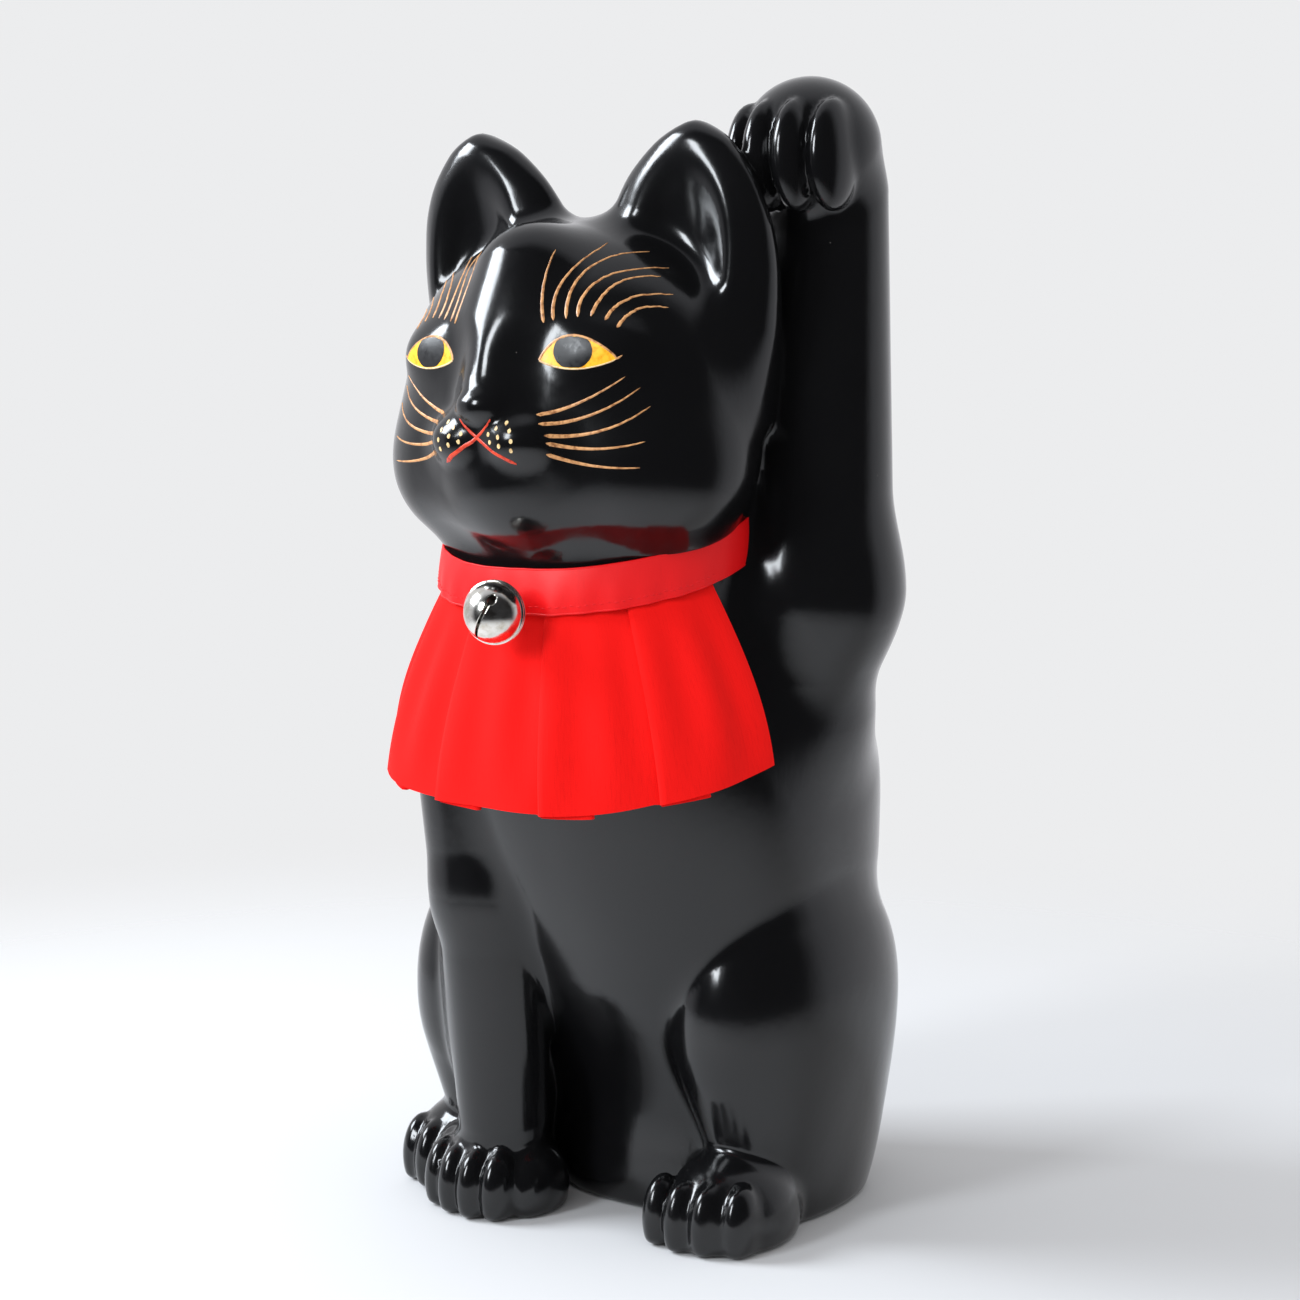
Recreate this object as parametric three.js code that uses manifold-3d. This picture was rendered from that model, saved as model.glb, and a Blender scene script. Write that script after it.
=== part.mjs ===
// Beckoning cat figurine: a hollow moulded cat with one paw raised, a pleated bib on a neck
// ribbon, and a small jingle bell sewn to the front of the ribbon.
// Millimetres, +Z up. The cat faces -Y, its own left (the raised paw) is +X, and the origin is
// on the underside of the base plate, on the cat's centre line.

import * as THREE from 'three';
import { mergeVertices } from 'three/addons/utils/BufferGeometryUtils.js';
import Module from 'manifold-3d';

const wasm = await Module();
wasm.setup();

// ---------------------------------------------------------------- driving dimensions
const GAP = 0.3;              // space left between neighbouring pieces
const WALL = 6;               // thickness of the moulded shell
const PARTING_Y = -8;         // frontal plane where the two half shells meet
const BASE_THICKNESS = 5;
const BASE_RIM = 0.4;         // play between the base plate and the shell around it
const VENT_RADIUS = 7;        // vent hole in the base plate
const VENT_PLACE = [14, 34];
const BEYOND = 150;           // farther than any side of the cat, for cutting blocks
const ABOVE = 400;            // higher than the cat

const HEAD_Y = -33;
const EYE_Z = 260;
const HEAD_Z = 254;
const PAW_Z = 318;            // middle of the raised paw

const RIBBON_WIDTH = 12;
const RIBBON_THICKNESS = 0.9;
const NECK = { x: 46.6, y: 40.6, centreY: -26 };   // inside of the ribbon: half axes and centre
const RIBBON_FRONT_Z = 194;   // middle of the ribbon at the throat
const RIBBON_SLOPE = 0.27;    // rise of the ribbon towards the nape, per millimetre of depth

const BIB_THICKNESS = 1.6;
const BIB_HEM = { x: 63.5, y: 50, centreY: -24 };  // hem of the bib: half axes and centre
const BIB_HEM_FRONT_Z = 132;
const BIB_HEM_RISE = 12;      // how much higher the hem is at its two ends
const BIB_PLEATS = 7;
const BIB_PLEAT_DEPTH = 0.9;

const BELL_RADIUS = 8.6;
const BELL_WALL = 0.5;
const BELL_RIM = 0.6;         // how far the crimped rim stands out
const BELL_Z = 189;
const BELL_TURN = 15;         // degrees that the bell hangs turned towards the raised paw
const SLOT_WIDTH = 1.8;
const SLOT_HOLE_RADIUS = 1.9;
const SLOT_HALF_LENGTH = 5.2;
const SLOT_TILT = THREE.MathUtils.degToRad(35);
const SHANK_WIRE = 0.35;      // radius of the shank's wire
const SHANK_REACH = 2;        // from the bell to the middle of the shank's bend
const SHANK_HALF_WIDTH = 1.5; // from the middle of the shank to either foot
const THREAD_RADIUS = 0.2;
const THREAD_LOOP = 0.85;     // radius of the loop of thread
const PELLET_RADIUS = 2.6;

const RIBBON_FRONT_Y = NECK.centreY - NECK.y - RIBBON_THICKNESS;
const THREAD_Y = RIBBON_FRONT_Y - GAP - THREAD_RADIUS - THREAD_LOOP;   // middle of the thread loop
const BELL_Y = THREAD_Y - SHANK_REACH - BELL_RADIUS;

// ---------------------------------------------------------------- solids from geometries
function solid(geometry) {
  const bare = geometry.clone();
  bare.deleteAttribute('normal');
  bare.deleteAttribute('uv');
  const merged = mergeVertices(bare, 1e-5);
  const mesh = new wasm.Mesh({
    numProp: 3,
    vertProperties: new Float32Array(merged.attributes.position.array),
    triVerts: new Uint32Array(merged.index.array),
  });
  mesh.merge();
  return new wasm.Manifold(mesh);
}

function geometryOf(manifold) {
  const mesh = manifold.getMesh();
  const geometry = new THREE.BufferGeometry();
  geometry.setAttribute('position', new THREE.BufferAttribute(new Float32Array(mesh.vertProperties), 3));
  geometry.setIndex(new THREE.BufferAttribute(new Uint32Array(mesh.triVerts), 1));
  geometry.computeVertexNormals();
  return geometry;
}

function union(solids) {
  return solids.reduce((sum, next) => sum.add(next));
}

function block(low, high) {
  const size = high.map((value, i) => value - low[i]);
  const geometry = new THREE.BoxGeometry(...size);
  geometry.translate(...low.map((value, i) => value + size[i] / 2));
  return solid(geometry);
}

// An ellipsoid; grow makes every half axis longer by that much.
function ellipsoid(centre, radii, grow = 0, around = 20, along = 14) {
  const geometry = new THREE.SphereGeometry(1, around, along);
  geometry.rotateX(Math.PI / 2);
  geometry.scale(...radii.map((radius) => radius + grow));
  geometry.translate(...centre);
  return solid(geometry);
}

// A tapered limb with round ends, from one point to another.
function limb(start, end, startRadius, endRadius, grow = 0, around = 12) {
  const from = new THREE.Vector3(...start);
  const to = new THREE.Vector3(...end);
  const length = from.distanceTo(to);
  const r0 = startRadius + grow;
  const r1 = endRadius + grow;
  const capSteps = 3;
  const profile = [];
  for (let i = 0; i <= capSteps; i += 1) {
    const angle = (i / capSteps) * Math.PI / 2;
    profile.push(new THREE.Vector2(r0 * Math.sin(angle), -r0 * Math.cos(angle)));
  }
  for (let i = 0; i <= capSteps; i += 1) {
    const angle = (i / capSteps) * Math.PI / 2;
    profile.push(new THREE.Vector2(r1 * Math.cos(angle), length + r1 * Math.sin(angle)));
  }
  profile[0].x = 0;
  profile[profile.length - 1].x = 0;
  const geometry = new THREE.LatheGeometry(profile, around);
  const direction = to.clone().sub(from).normalize();
  geometry.applyQuaternion(new THREE.Quaternion().setFromUnitVectors(new THREE.Vector3(0, 1, 0), direction));
  geometry.translate(...start);
  return solid(geometry);
}

// A smooth value read from a list of [height, value] pairs.
function smoothRead(pairs, height) {
  const last = pairs.length - 1;
  const inside = THREE.MathUtils.clamp(height, pairs[0][0], pairs[last][0]);
  let i = 0;
  while (i < last - 1 && inside > pairs[i + 1][0]) i += 1;
  const [z0, v0] = pairs[i];
  const [z1, v1] = pairs[i + 1];
  const before = pairs[Math.max(i - 1, 0)];
  const after = pairs[Math.min(i + 2, last)];
  const slope0 = (v1 - before[1]) / (z1 - before[0]);
  const slope1 = (after[1] - v0) / (after[0] - z0);
  const t = (inside - z0) / (z1 - z0);
  const step = z1 - z0;
  return (2 * t ** 3 - 3 * t ** 2 + 1) * v0 + (t ** 3 - 2 * t ** 2 + t) * step * slope0
    + (3 * t ** 2 - 2 * t ** 3) * v1 + (t ** 3 - t ** 2) * step * slope1;
}

// A stack of rounded sections along Z. Each station is [z, low x, high x, low y, high y].
function loft(stations, { grow = 0, squareness = 2, around = 32, layers = 14, dome = 0 } = {}) {
  const columns = [1, 2, 3, 4].map((k) => stations.map((row) => [row[0], row[k]]));
  const bottom = stations[0][0];
  const top = stations[stations.length - 1][0] + grow;
  const profile = [new THREE.Vector2(0, 0)];
  for (let i = 0; i <= layers; i += 1) profile.push(new THREE.Vector2(1, i / layers));
  profile.push(new THREE.Vector2(0, 1));
  const geometry = new THREE.LatheGeometry(profile, around);
  geometry.rotateX(Math.PI / 2);
  const position = geometry.attributes.position;
  for (let i = 0; i < position.count; i += 1) {
    const unitX = position.getX(i);
    const unitY = position.getY(i);
    const share = position.getZ(i);
    const z = bottom + (top - bottom) * share;
    const [x0, x1, y0, y1] = columns.map((pairs) => smoothRead(pairs, z - grow));
    const closing = dome > 0 ? Math.sqrt(Math.max(1 - Math.max((z - (top - dome)) / dome, 0) ** 2, 0.04)) : 1;
    const angle = Math.atan2(unitY, unitX);
    const radius = Math.hypot(unitX, unitY);
    const flat = (Math.abs(Math.cos(angle)) ** squareness + Math.abs(Math.sin(angle)) ** squareness)
      ** (-1 / squareness);
    const reach = radius * flat * closing;
    position.setX(i, (x0 + x1) / 2 + reach * Math.cos(angle) * ((x1 - x0) / 2 + grow));
    position.setY(i, (y0 + y1) / 2 + reach * Math.sin(angle) * ((y1 - y0) / 2 + grow));
    position.setZ(i, z);
  }
  return solid(geometry);
}

// ---------------------------------------------------------------- the moulded cat
const TORSO = [
  [-12, -42, 42, -8, 50],
  [0, -42, 42, -12, 57],
  [30, -46, 46, -12, 66],
  [75, -54, 54, -34, 73],
  [112, -60, 60, -51, 76],
  [145, -60, 60, -60, 73],
  [172, -55, 55, -63, 56],
  [198, -46, 46, -64, 28],
  [212, -44, 44, -62, 15],
  [225, -38, 38, -58, 8],
  [240, -20, 20, -45, -5],
];

function torso(grow) {
  return loft(TORSO, { grow, squareness: 2.35, around: 28, layers: 13, dome: 12 });
}

function head(grow) {
  const parts = [ellipsoid([0, HEAD_Y, HEAD_Z], [54, 44.5, 44.5], grow, 24, 16)];
  parts.push(ellipsoid([0, -67, 236], [21, 14.5, 13.5], grow, 12, 8));
  parts.push(ellipsoid([0, -72, 223], [9, 8, 6], grow, 12, 8));
  parts.push(limb([0, -62, 280], [0, -78, 249], 9.5, 5, grow, 14));
  parts.push(ellipsoid([0, -80.5, 244.5], [6, 5, 4.5], grow, 12, 8));
  for (const side of [-1, 1]) {
    parts.push(ellipsoid([side * 26, HEAD_Y - 5, 230], [32.5, 33, 28], grow, 18, 12));
    parts.push(ellipsoid([side * 9.5, -76, 236.5], [10.5, 8.5, 7.5], grow, 12, 8));
    parts.push(ellipsoid([side * 24.5, -61, EYE_Z], [14, 10, 9], grow, 14, 10));
  }
  return parts;
}

// Heights and edges of one ear, measured from its root: [z, inner edge, outer edge, front, back].
const EAR = [
  [-50, -32, 20, -14, 30],
  [-20, -33, 26, -13, 25],
  [0, -30, 27, -11, 17],
  [12, -24, 25, -10, 11],
  [24, -15, 19, -8, 7],
  [32, -5, 12, -6, 5],
  [36.5, 2, 6, -4, 3],
];
const EAR_PLACE = { x: 34, y: -31, z: 290 };

function ear(side, grow) {
  const stations = EAR.map(([z, inner, outer, front, back]) => (side > 0
    ? [z, inner, outer, front, back]
    : [z, -outer, -inner, front, back]));
  const shell = loft(stations, { grow, around: 16, layers: 8 });
  const hollow = ellipsoid([side * 3, -18, -3], [18 - grow, 15 - grow, 33 - grow], 0, 14, 10);
  return shell.subtract(hollow).translate([side * EAR_PLACE.x, EAR_PLACE.y, EAR_PLACE.z]);
}

// Four toes in a row, given as [x, front y] for each.
function toes(fronts, z, radii, grow) {
  return fronts.map(([x, frontY]) => ellipsoid([x, frontY + radii[1], z], radii, grow, 8, 6));
}

function foreleg(grow) {
  return [
    limb([-33, -34, 166], [-34, -36, 98], 21.5, 17, grow),
    limb([-34, -36, 98], [-33, -31, 28], 17, 14, grow),
    ellipsoid([-36, -29, 8], [19, 20, 19], grow, 12, 8),
    ellipsoid([-20, -30, 6], [6, 12, 14], grow, 8, 6),
    ...toes([[-49, -48], [-41, -51.5], [-33, -52.5], [-25.5, -50.5]], 8, [5.2, 8, 12.5], grow),
  ];
}

const HAUNCHES = [
  { side: 1, x: 40, y: 16, footX: 39.5, footFront: -40 },
  { side: -1, x: -51.5, y: 8, footX: -58, footFront: -37 },
];

function haunch({ side, x, y, footX, footFront }, grow) {
  const toeFronts = [[-11.8, 1], [-3.9, -1], [4, 0], [11.6, 4.5]];
  return [
    ellipsoid([x, y, 66], [26.5, 48.5, 49], grow, 20, 12),
    ellipsoid([x + side * 2, y + 4, 19], [17.5, 40, 34], grow, 16, 10),
    ellipsoid([footX + side, footFront + 25, 7], [17, 23.5, 20], grow, 12, 8),
    ...toes(toeFronts.map(([x0, y0]) => [footX + side * x0, footFront + y0]), 8, [4.8, 8, 12.5], grow),
  ];
}

function catBody(grow) {
  const parts = [torso(grow), ...head(grow), ear(-1, grow), ear(1, grow), ...foreleg(grow)];
  for (const leg of HAUNCHES) parts.push(...haunch(leg, grow));
  return union(parts).intersect(block([-BEYOND, -BEYOND, 0], [BEYOND, BEYOND, ABOVE]));
}

// The hollow left by slip casting: it follows the torso, the head and the haunches at the wall's depth.
function cavity() {
  const hollow = [torso(-WALL), ellipsoid([0, HEAD_Y, HEAD_Z], [50, 43, 43], -WALL, 16, 10)];
  for (const { side, x, y } of HAUNCHES) {
    hollow.push(ellipsoid([x - side * 4, y + 5, 60], [23, 45, 46], -WALL, 12, 8));
  }
  return union(hollow);
}

function raisedArm() {
  const outer = union([
    limb([44, 14, 168], [55, 8, 186], 27, 23, 0, 16),
    limb([55, 8, 188], [56.5, 10, 245], 23, 18.8, 0, 16),
    limb([56.5, 10, 245], [57, 9, 302], 18.8, 17.2, 0, 16),
    ellipsoid([57, -4, PAW_Z], [19.8, 23, 19.8], 0, 18, 12),
    ellipsoid([46, 5, 240], [10, 13, 64], 0, 10, 8),
    ...toes([[43.5, -23], [52, -28], [61, -28.5], [70, -24]], PAW_Z - 5, [5.6, 8.5, 12.5], 0),
  ]);
  const inner = union([
    limb([44, 14, 172], [56, 9, 190], 16, 14, 0, 10),
    limb([56, 9, 190], [57, 8, 310], 14, 11, 0, 10),
  ]);
  return outer.subtract(inner);
}

// ---------------------------------------------------------------- ribbon and bib
function ribbonHeight(y) {
  return RIBBON_FRONT_Z + RIBBON_SLOPE * (y - RIBBON_FRONT_Y);
}

// A band around the neck, from one distance outside the neck line to another.
function neckBand(inside, outside, halfWidth) {
  const profile = [
    [inside, -halfWidth], [outside, -halfWidth], [outside, halfWidth], [inside, halfWidth], [inside, -halfWidth],
  ].map(([distance, z]) => new THREE.Vector2(NECK.x + distance, z));
  const geometry = new THREE.LatheGeometry(profile, 40);
  geometry.rotateX(Math.PI / 2);
  const position = geometry.attributes.position;
  for (let i = 0; i < position.count; i += 1) {
    const radius = Math.hypot(position.getX(i), position.getY(i));
    const distance = radius - NECK.x;
    const y = NECK.centreY + (position.getY(i) / radius) * (NECK.y + distance);
    position.setY(i, y);
    position.setZ(i, position.getZ(i) + ribbonHeight(y));
  }
  return solid(geometry);
}

// The bib hangs from the lower edge of the ribbon, over the chest and shoulders.
function bib() {
  const across = 42;
  const down = 5;
  const endAngle = THREE.MathUtils.degToRad(11);
  const point = (along, fall, out) => {
    const angle = -Math.PI + endAngle + along * (Math.PI - 2 * endAngle);
    const spread = Math.sin(fall * Math.PI / 2);
    const fold = BIB_PLEAT_DEPTH * fall * (1 - Math.cos(along * BIB_PLEATS * 2 * Math.PI));
    const halfX = THREE.MathUtils.lerp(NECK.x, BIB_HEM.x, spread) + out + fold;
    const halfY = THREE.MathUtils.lerp(NECK.y, BIB_HEM.y, spread) + out + fold;
    const centreY = THREE.MathUtils.lerp(NECK.centreY, BIB_HEM.centreY, fall);
    const y = centreY + halfY * Math.sin(angle);
    const topZ = ribbonHeight(y) - RIBBON_WIDTH / 2 - GAP;
    const hemZ = BIB_HEM_FRONT_Z + BIB_HEM_RISE * (1 + Math.sin(angle)) ** 1.5;
    return [halfX * Math.cos(angle), y, THREE.MathUtils.lerp(topZ, hemZ, fall)];
  };
  const vertices = [];
  const faces = [];
  const index = (i, j, layer) => (layer * (down + 1) + j) * (across + 1) + i;
  for (const layer of [0, 1]) {
    for (let j = 0; j <= down; j += 1) {
      for (let i = 0; i <= across; i += 1) {
        vertices.push(...point(i / across, j / down, layer * BIB_THICKNESS));
      }
    }
  }
  const quad = (a, b, c, d) => faces.push(a, b, c, a, c, d);
  for (let j = 0; j < down; j += 1) {
    for (let i = 0; i < across; i += 1) {
      quad(index(i, j, 0), index(i + 1, j, 0), index(i + 1, j + 1, 0), index(i, j + 1, 0));
      quad(index(i, j, 1), index(i, j + 1, 1), index(i + 1, j + 1, 1), index(i + 1, j, 1));
    }
    quad(index(0, j, 0), index(0, j + 1, 0), index(0, j + 1, 1), index(0, j, 1));
    quad(index(across, j, 0), index(across, j, 1), index(across, j + 1, 1), index(across, j + 1, 0));
  }
  for (let i = 0; i < across; i += 1) {
    quad(index(i, 0, 0), index(i, 0, 1), index(i + 1, 0, 1), index(i + 1, 0, 0));
    quad(index(i, down, 0), index(i + 1, down, 0), index(i + 1, down, 1), index(i, down, 1));
  }
  const geometry = new THREE.BufferGeometry();
  geometry.setAttribute('position', new THREE.Float32BufferAttribute(vertices, 3));
  geometry.setIndex(faces);
  return solid(geometry);
}

const NAPE_Y = NECK.centreY + NECK.y + RIBBON_THICKNESS;
const KNOT = { y: NAPE_Y + GAP + 3.2, z: ribbonHeight(NAPE_Y) };
const BOW_LOOP = { x: 11, y: 2.4, z: 6 };
const BOW_TAIL = { drop: 11, length: 30, width: RIBBON_WIDTH, thickness: 0.9, lift: 2.4, x: 4 };

// One loop of the bow, drooping away from the knot.
function bowLoop(side) {
  const geometry = new THREE.SphereGeometry(1, 14, 8);
  geometry.scale(BOW_LOOP.x, BOW_LOOP.y, BOW_LOOP.z);
  geometry.rotateY(side * 0.3);
  geometry.translate(side * (BOW_LOOP.x + 3.8), KNOT.y + 1.5, KNOT.z - 2.2);
  return solid(geometry);
}

function backOf(z) {
  return smoothRead(TORSO.map((row) => [row[0], row[4]]), z);
}

// One ribbon end, lying on the slope of the cat's back below the bow.
function bowTail(side) {
  const outline = [];
  const steps = 8;
  const topZ = KNOT.z - BOW_TAIL.drop;
  for (let i = 0; i <= steps; i += 1) {
    const z = topZ - (i / steps) * BOW_TAIL.length;
    outline.push([backOf(z) + BOW_TAIL.lift, z]);
  }
  for (let i = steps; i >= 0; i -= 1) {
    const [y, z] = outline[i];
    outline.push([y + BOW_TAIL.thickness, z + BOW_TAIL.thickness * 0.7]);
  }
  const shape = new THREE.Shape(outline.map(([y, z]) => new THREE.Vector2(y, z)));
  const geometry = new THREE.ExtrudeGeometry(shape, { depth: BOW_TAIL.width, bevelEnabled: false });
  // the shape's X becomes Y, its Y becomes Z and the depth runs along X
  geometry.applyMatrix4(new THREE.Matrix4().set(0, 0, 1, 0, 1, 0, 0, 0, 0, 1, 0, 0, 0, 0, 0, 1));
  geometry.translate(side > 0 ? BOW_TAIL.x : -BOW_TAIL.x - BOW_TAIL.width, 0, 0);
  return solid(geometry);
}

// ---------------------------------------------------------------- bell
// The bell's own axis is Z here, with the slot at -Z; bellPlace() turns it to hang in front of the thread.
function bellPlace(shape) {
  return shape.rotate([-90, 0, 0]).translate([0, BELL_Y - THREAD_Y, 0])
    .rotate([0, 0, BELL_TURN]).translate([0, THREAD_Y, BELL_Z]);
}

// Half a bell: a thin hemisphere with a flange. direction is -1 for the front half.
function bellHalf(direction) {
  const steps = 6;
  const profile = [];
  const start = GAP / 2;
  for (let i = 0; i <= steps; i += 1) {
    const angle = (i / steps) * Math.PI / 2;
    profile.push([BELL_RADIUS * Math.sin(angle), Math.max(BELL_RADIUS * Math.cos(angle), start)]);
  }
  profile[0][0] = 0;
  profile.splice(steps, 1, [BELL_RADIUS, start + BELL_WALL], [BELL_RADIUS + BELL_RIM, start + BELL_WALL],
    [BELL_RADIUS + BELL_RIM, start]);
  const inner = BELL_RADIUS - BELL_WALL;
  for (let i = steps; i >= 0; i -= 1) {
    const angle = (i / steps) * Math.PI / 2;
    profile.push([inner * Math.sin(angle), Math.max(inner * Math.cos(angle), start)]);
  }
  profile[profile.length - 1][0] = 0;
  const points = profile.map(([r, z]) => new THREE.Vector2(r, z));
  const geometry = new THREE.LatheGeometry(points.reverse(), 20);
  geometry.rotateX(Math.PI / 2);
  const half = solid(geometry);
  return direction > 0 ? half : half.rotate([180, 0, 0]);
}

// The slot of the bell: a narrow cut with a round hole at each end.
function bellSlot() {
  const depth = BELL_RADIUS * 2;
  const cut = new THREE.BoxGeometry(SLOT_HALF_LENGTH * 2, SLOT_WIDTH, depth);
  const holes = [-1, 1].map((side) => {
    const hole = new THREE.CylinderGeometry(SLOT_HOLE_RADIUS, SLOT_HOLE_RADIUS, depth, 14);
    hole.rotateX(Math.PI / 2);
    hole.translate(side * SLOT_HALF_LENGTH, 0, 0);
    return solid(hole);
  });
  return union([solid(cut), ...holes])
    .rotate([0, 0, THREE.MathUtils.radToDeg(SLOT_TILT)])
    .translate([0, 0, -depth / 2 - 1]);
}

// The staple at the back of the bell that the thread passes through.
function bellShank() {
  const foot = BELL_RADIUS + GAP + 0.05;
  const bend = BELL_RADIUS + SHANK_REACH;
  const shoulder = THREE.MathUtils.lerp(foot, bend, 0.57);
  const path = new THREE.CatmullRomCurve3([
    new THREE.Vector3(0, -SHANK_HALF_WIDTH, foot),
    new THREE.Vector3(0, -SHANK_HALF_WIDTH * 0.87, shoulder),
    new THREE.Vector3(0, 0, bend),
    new THREE.Vector3(0, SHANK_HALF_WIDTH * 0.87, shoulder),
    new THREE.Vector3(0, SHANK_HALF_WIDTH, foot),
  ]);
  const section = new THREE.Shape();
  section.absarc(0, 0, SHANK_WIRE, 0, Math.PI * 2);
  const geometry = new THREE.ExtrudeGeometry(section, { extrudePath: path, steps: 10, curveSegments: 3 });
  return solid(geometry);
}

function threadLoop() {
  const geometry = new THREE.TorusGeometry(THREAD_LOOP, THREAD_RADIUS, 6, 12);
  geometry.translate(0, THREAD_Y, BELL_Z);
  return solid(geometry);
}

// ---------------------------------------------------------------- assembly
const LACQUER = { color: 0x050506, roughness: 0.16, metalness: 0 };
const BARE_CLAY = { color: 0x8a7766, roughness: 0.9, metalness: 0 };
const SATIN = { color: 0xd8101c, roughness: 0.45, metalness: 0 };
const COTTON = { color: 0xe0120f, roughness: 0.85, metalness: 0 };
const NICKEL = { color: 0xd6d4cf, roughness: 0.12, metalness: 1 };
const THREAD = { color: 0xc01018, roughness: 0.8, metalness: 0 };

const figurine = new THREE.Group();

function addPiece(group, name, manifold, finish) {
  const mesh = new THREE.Mesh(geometryOf(manifold), new THREE.MeshStandardMaterial(finish));
  mesh.name = name;
  group.add(mesh);
}

const grownBody = catBody(GAP);
const ribbonSeat = neckBand(-GAP, RIBBON_THICKNESS + GAP, RIBBON_WIDTH / 2 + GAP);
const ribbonPassage = neckBand(-3, RIBBON_THICKNESS + 1.2, RIBBON_WIDTH / 2 + 2);
const inside = cavity();
const shell = catBody(0).subtract(inside).subtract(ribbonSeat);
const frontHalf = block([-BEYOND, -BEYOND, -BASE_THICKNESS], [BEYOND, PARTING_Y - GAP / 2, ABOVE]);
const rearHalf = block([-BEYOND, PARTING_Y + GAP / 2, -BASE_THICKNESS], [BEYOND, BEYOND, ABOVE]);
const arm = raisedArm().subtract(grownBody).subtract(ribbonPassage);

const moulded = new THREE.Group();
addPiece(moulded, 'front_shell', shell.intersect(frontHalf), LACQUER);
addPiece(moulded, 'rear_shell', shell.intersect(rearHalf), LACQUER);
addPiece(moulded, 'raised_arm', arm, LACQUER);

const tail = union([
  limb([6, 66, 14], [24, 70, 22], 9, 8.5),
  limb([24, 70, 22], [32, 64, 40], 8.5, 7.5),
  limb([32, 64, 40], [26, 67, 56], 7.5, 6.5),
]).subtract(grownBody);
addPiece(moulded, 'tail', tail, LACQUER);

const vent = new THREE.CylinderGeometry(VENT_RADIUS, VENT_RADIUS, BASE_THICKNESS * 4, 24);
vent.rotateX(Math.PI / 2);
vent.translate(VENT_PLACE[0], VENT_PLACE[1], 0);
const basePlate = torso(-WALL - BASE_RIM)
  .intersect(block([-BEYOND, -BEYOND, 0], [BEYOND, BEYOND, BASE_THICKNESS]))
  .subtract(solid(vent));
addPiece(moulded, 'base_plate', basePlate, BARE_CLAY);
figurine.add(moulded);

const dress = new THREE.Group();
addPiece(dress, 'neck_ribbon', neckBand(0, RIBBON_THICKNESS, RIBBON_WIDTH / 2), SATIN);
addPiece(dress, 'pleated_bib', bib(), COTTON);
addPiece(dress, 'bow_knot', ellipsoid([0, KNOT.y, KNOT.z], [3.4, 3, 4.2], 0, 10, 6), SATIN);
for (const [side, hand] of [[1, 'left'], [-1, 'right']]) {
  addPiece(dress, `bow_loop_${hand}`, bowLoop(side), SATIN);
  addPiece(dress, `bow_tail_${hand}`, bowTail(side), SATIN);
}
addPiece(dress, 'bell_thread', threadLoop(), THREAD);
figurine.add(dress);

const bell = new THREE.Group();
addPiece(bell, 'bell_shank', bellPlace(bellShank()), NICKEL);
addPiece(bell, 'bell_rear_shell', bellPlace(bellHalf(1)), NICKEL);
addPiece(bell, 'bell_front_shell', bellPlace(bellHalf(-1).subtract(bellSlot())), NICKEL);
const pelletDrop = BELL_RADIUS - BELL_WALL - PELLET_RADIUS - GAP;
const pellet = ellipsoid([0, 0, 0], Array(3).fill(PELLET_RADIUS), 0, 12, 8);
addPiece(bell, 'bell_pellet', bellPlace(pellet).translate([0, 0, -pelletDrop]), NICKEL);
figurine.add(bell);

export default figurine;
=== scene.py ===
"""Looks of the beckoning cat figurine: black lacquer, painted face, pleated bib, neck ribbon and bell."""
import math

import bpy
import numpy as np
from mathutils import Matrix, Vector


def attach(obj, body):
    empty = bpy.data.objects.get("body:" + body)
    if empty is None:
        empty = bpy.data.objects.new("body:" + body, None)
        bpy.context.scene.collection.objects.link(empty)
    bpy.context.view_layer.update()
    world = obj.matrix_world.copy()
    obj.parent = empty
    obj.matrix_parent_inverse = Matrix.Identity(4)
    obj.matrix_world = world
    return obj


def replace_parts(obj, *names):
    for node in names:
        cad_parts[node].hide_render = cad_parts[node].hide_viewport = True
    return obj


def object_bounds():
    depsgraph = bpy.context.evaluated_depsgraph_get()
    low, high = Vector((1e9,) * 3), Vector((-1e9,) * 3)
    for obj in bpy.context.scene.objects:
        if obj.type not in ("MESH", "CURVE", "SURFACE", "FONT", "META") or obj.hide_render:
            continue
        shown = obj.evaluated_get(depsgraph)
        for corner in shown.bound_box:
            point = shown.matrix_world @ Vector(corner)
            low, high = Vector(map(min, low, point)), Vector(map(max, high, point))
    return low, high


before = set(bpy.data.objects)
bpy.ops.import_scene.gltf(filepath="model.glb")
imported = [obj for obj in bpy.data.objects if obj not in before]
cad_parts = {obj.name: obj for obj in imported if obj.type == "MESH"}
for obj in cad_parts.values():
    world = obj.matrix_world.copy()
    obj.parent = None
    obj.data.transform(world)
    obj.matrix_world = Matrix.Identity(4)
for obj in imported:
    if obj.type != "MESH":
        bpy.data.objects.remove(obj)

import openvdb
from mathutils import Vector

CAD_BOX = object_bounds()
MM = 0.001

# ------------------------------------------------------------------ driving sizes, in millimetres
CELL = 1.4       # grid cell of the cat's skin
WALL = 3.0                         # thickness given to the skin
FLOOR_EDGE = 2.5                   # rounding of the cat's lower edge
SEAM_Y = -8.0                      # where the front and rear shells meet
HEAD_Y = -33.0
HEAD_Z = 254.0
EYE_Z = 260.0
PAW_Z = 318.0
PLATE_INSET = 6.0                  # from the cat's foot line to the base plate's opening


# ------------------------------------------------------------------ distance fields
def vec(*values):
    return np.array(values, np.float32)


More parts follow.
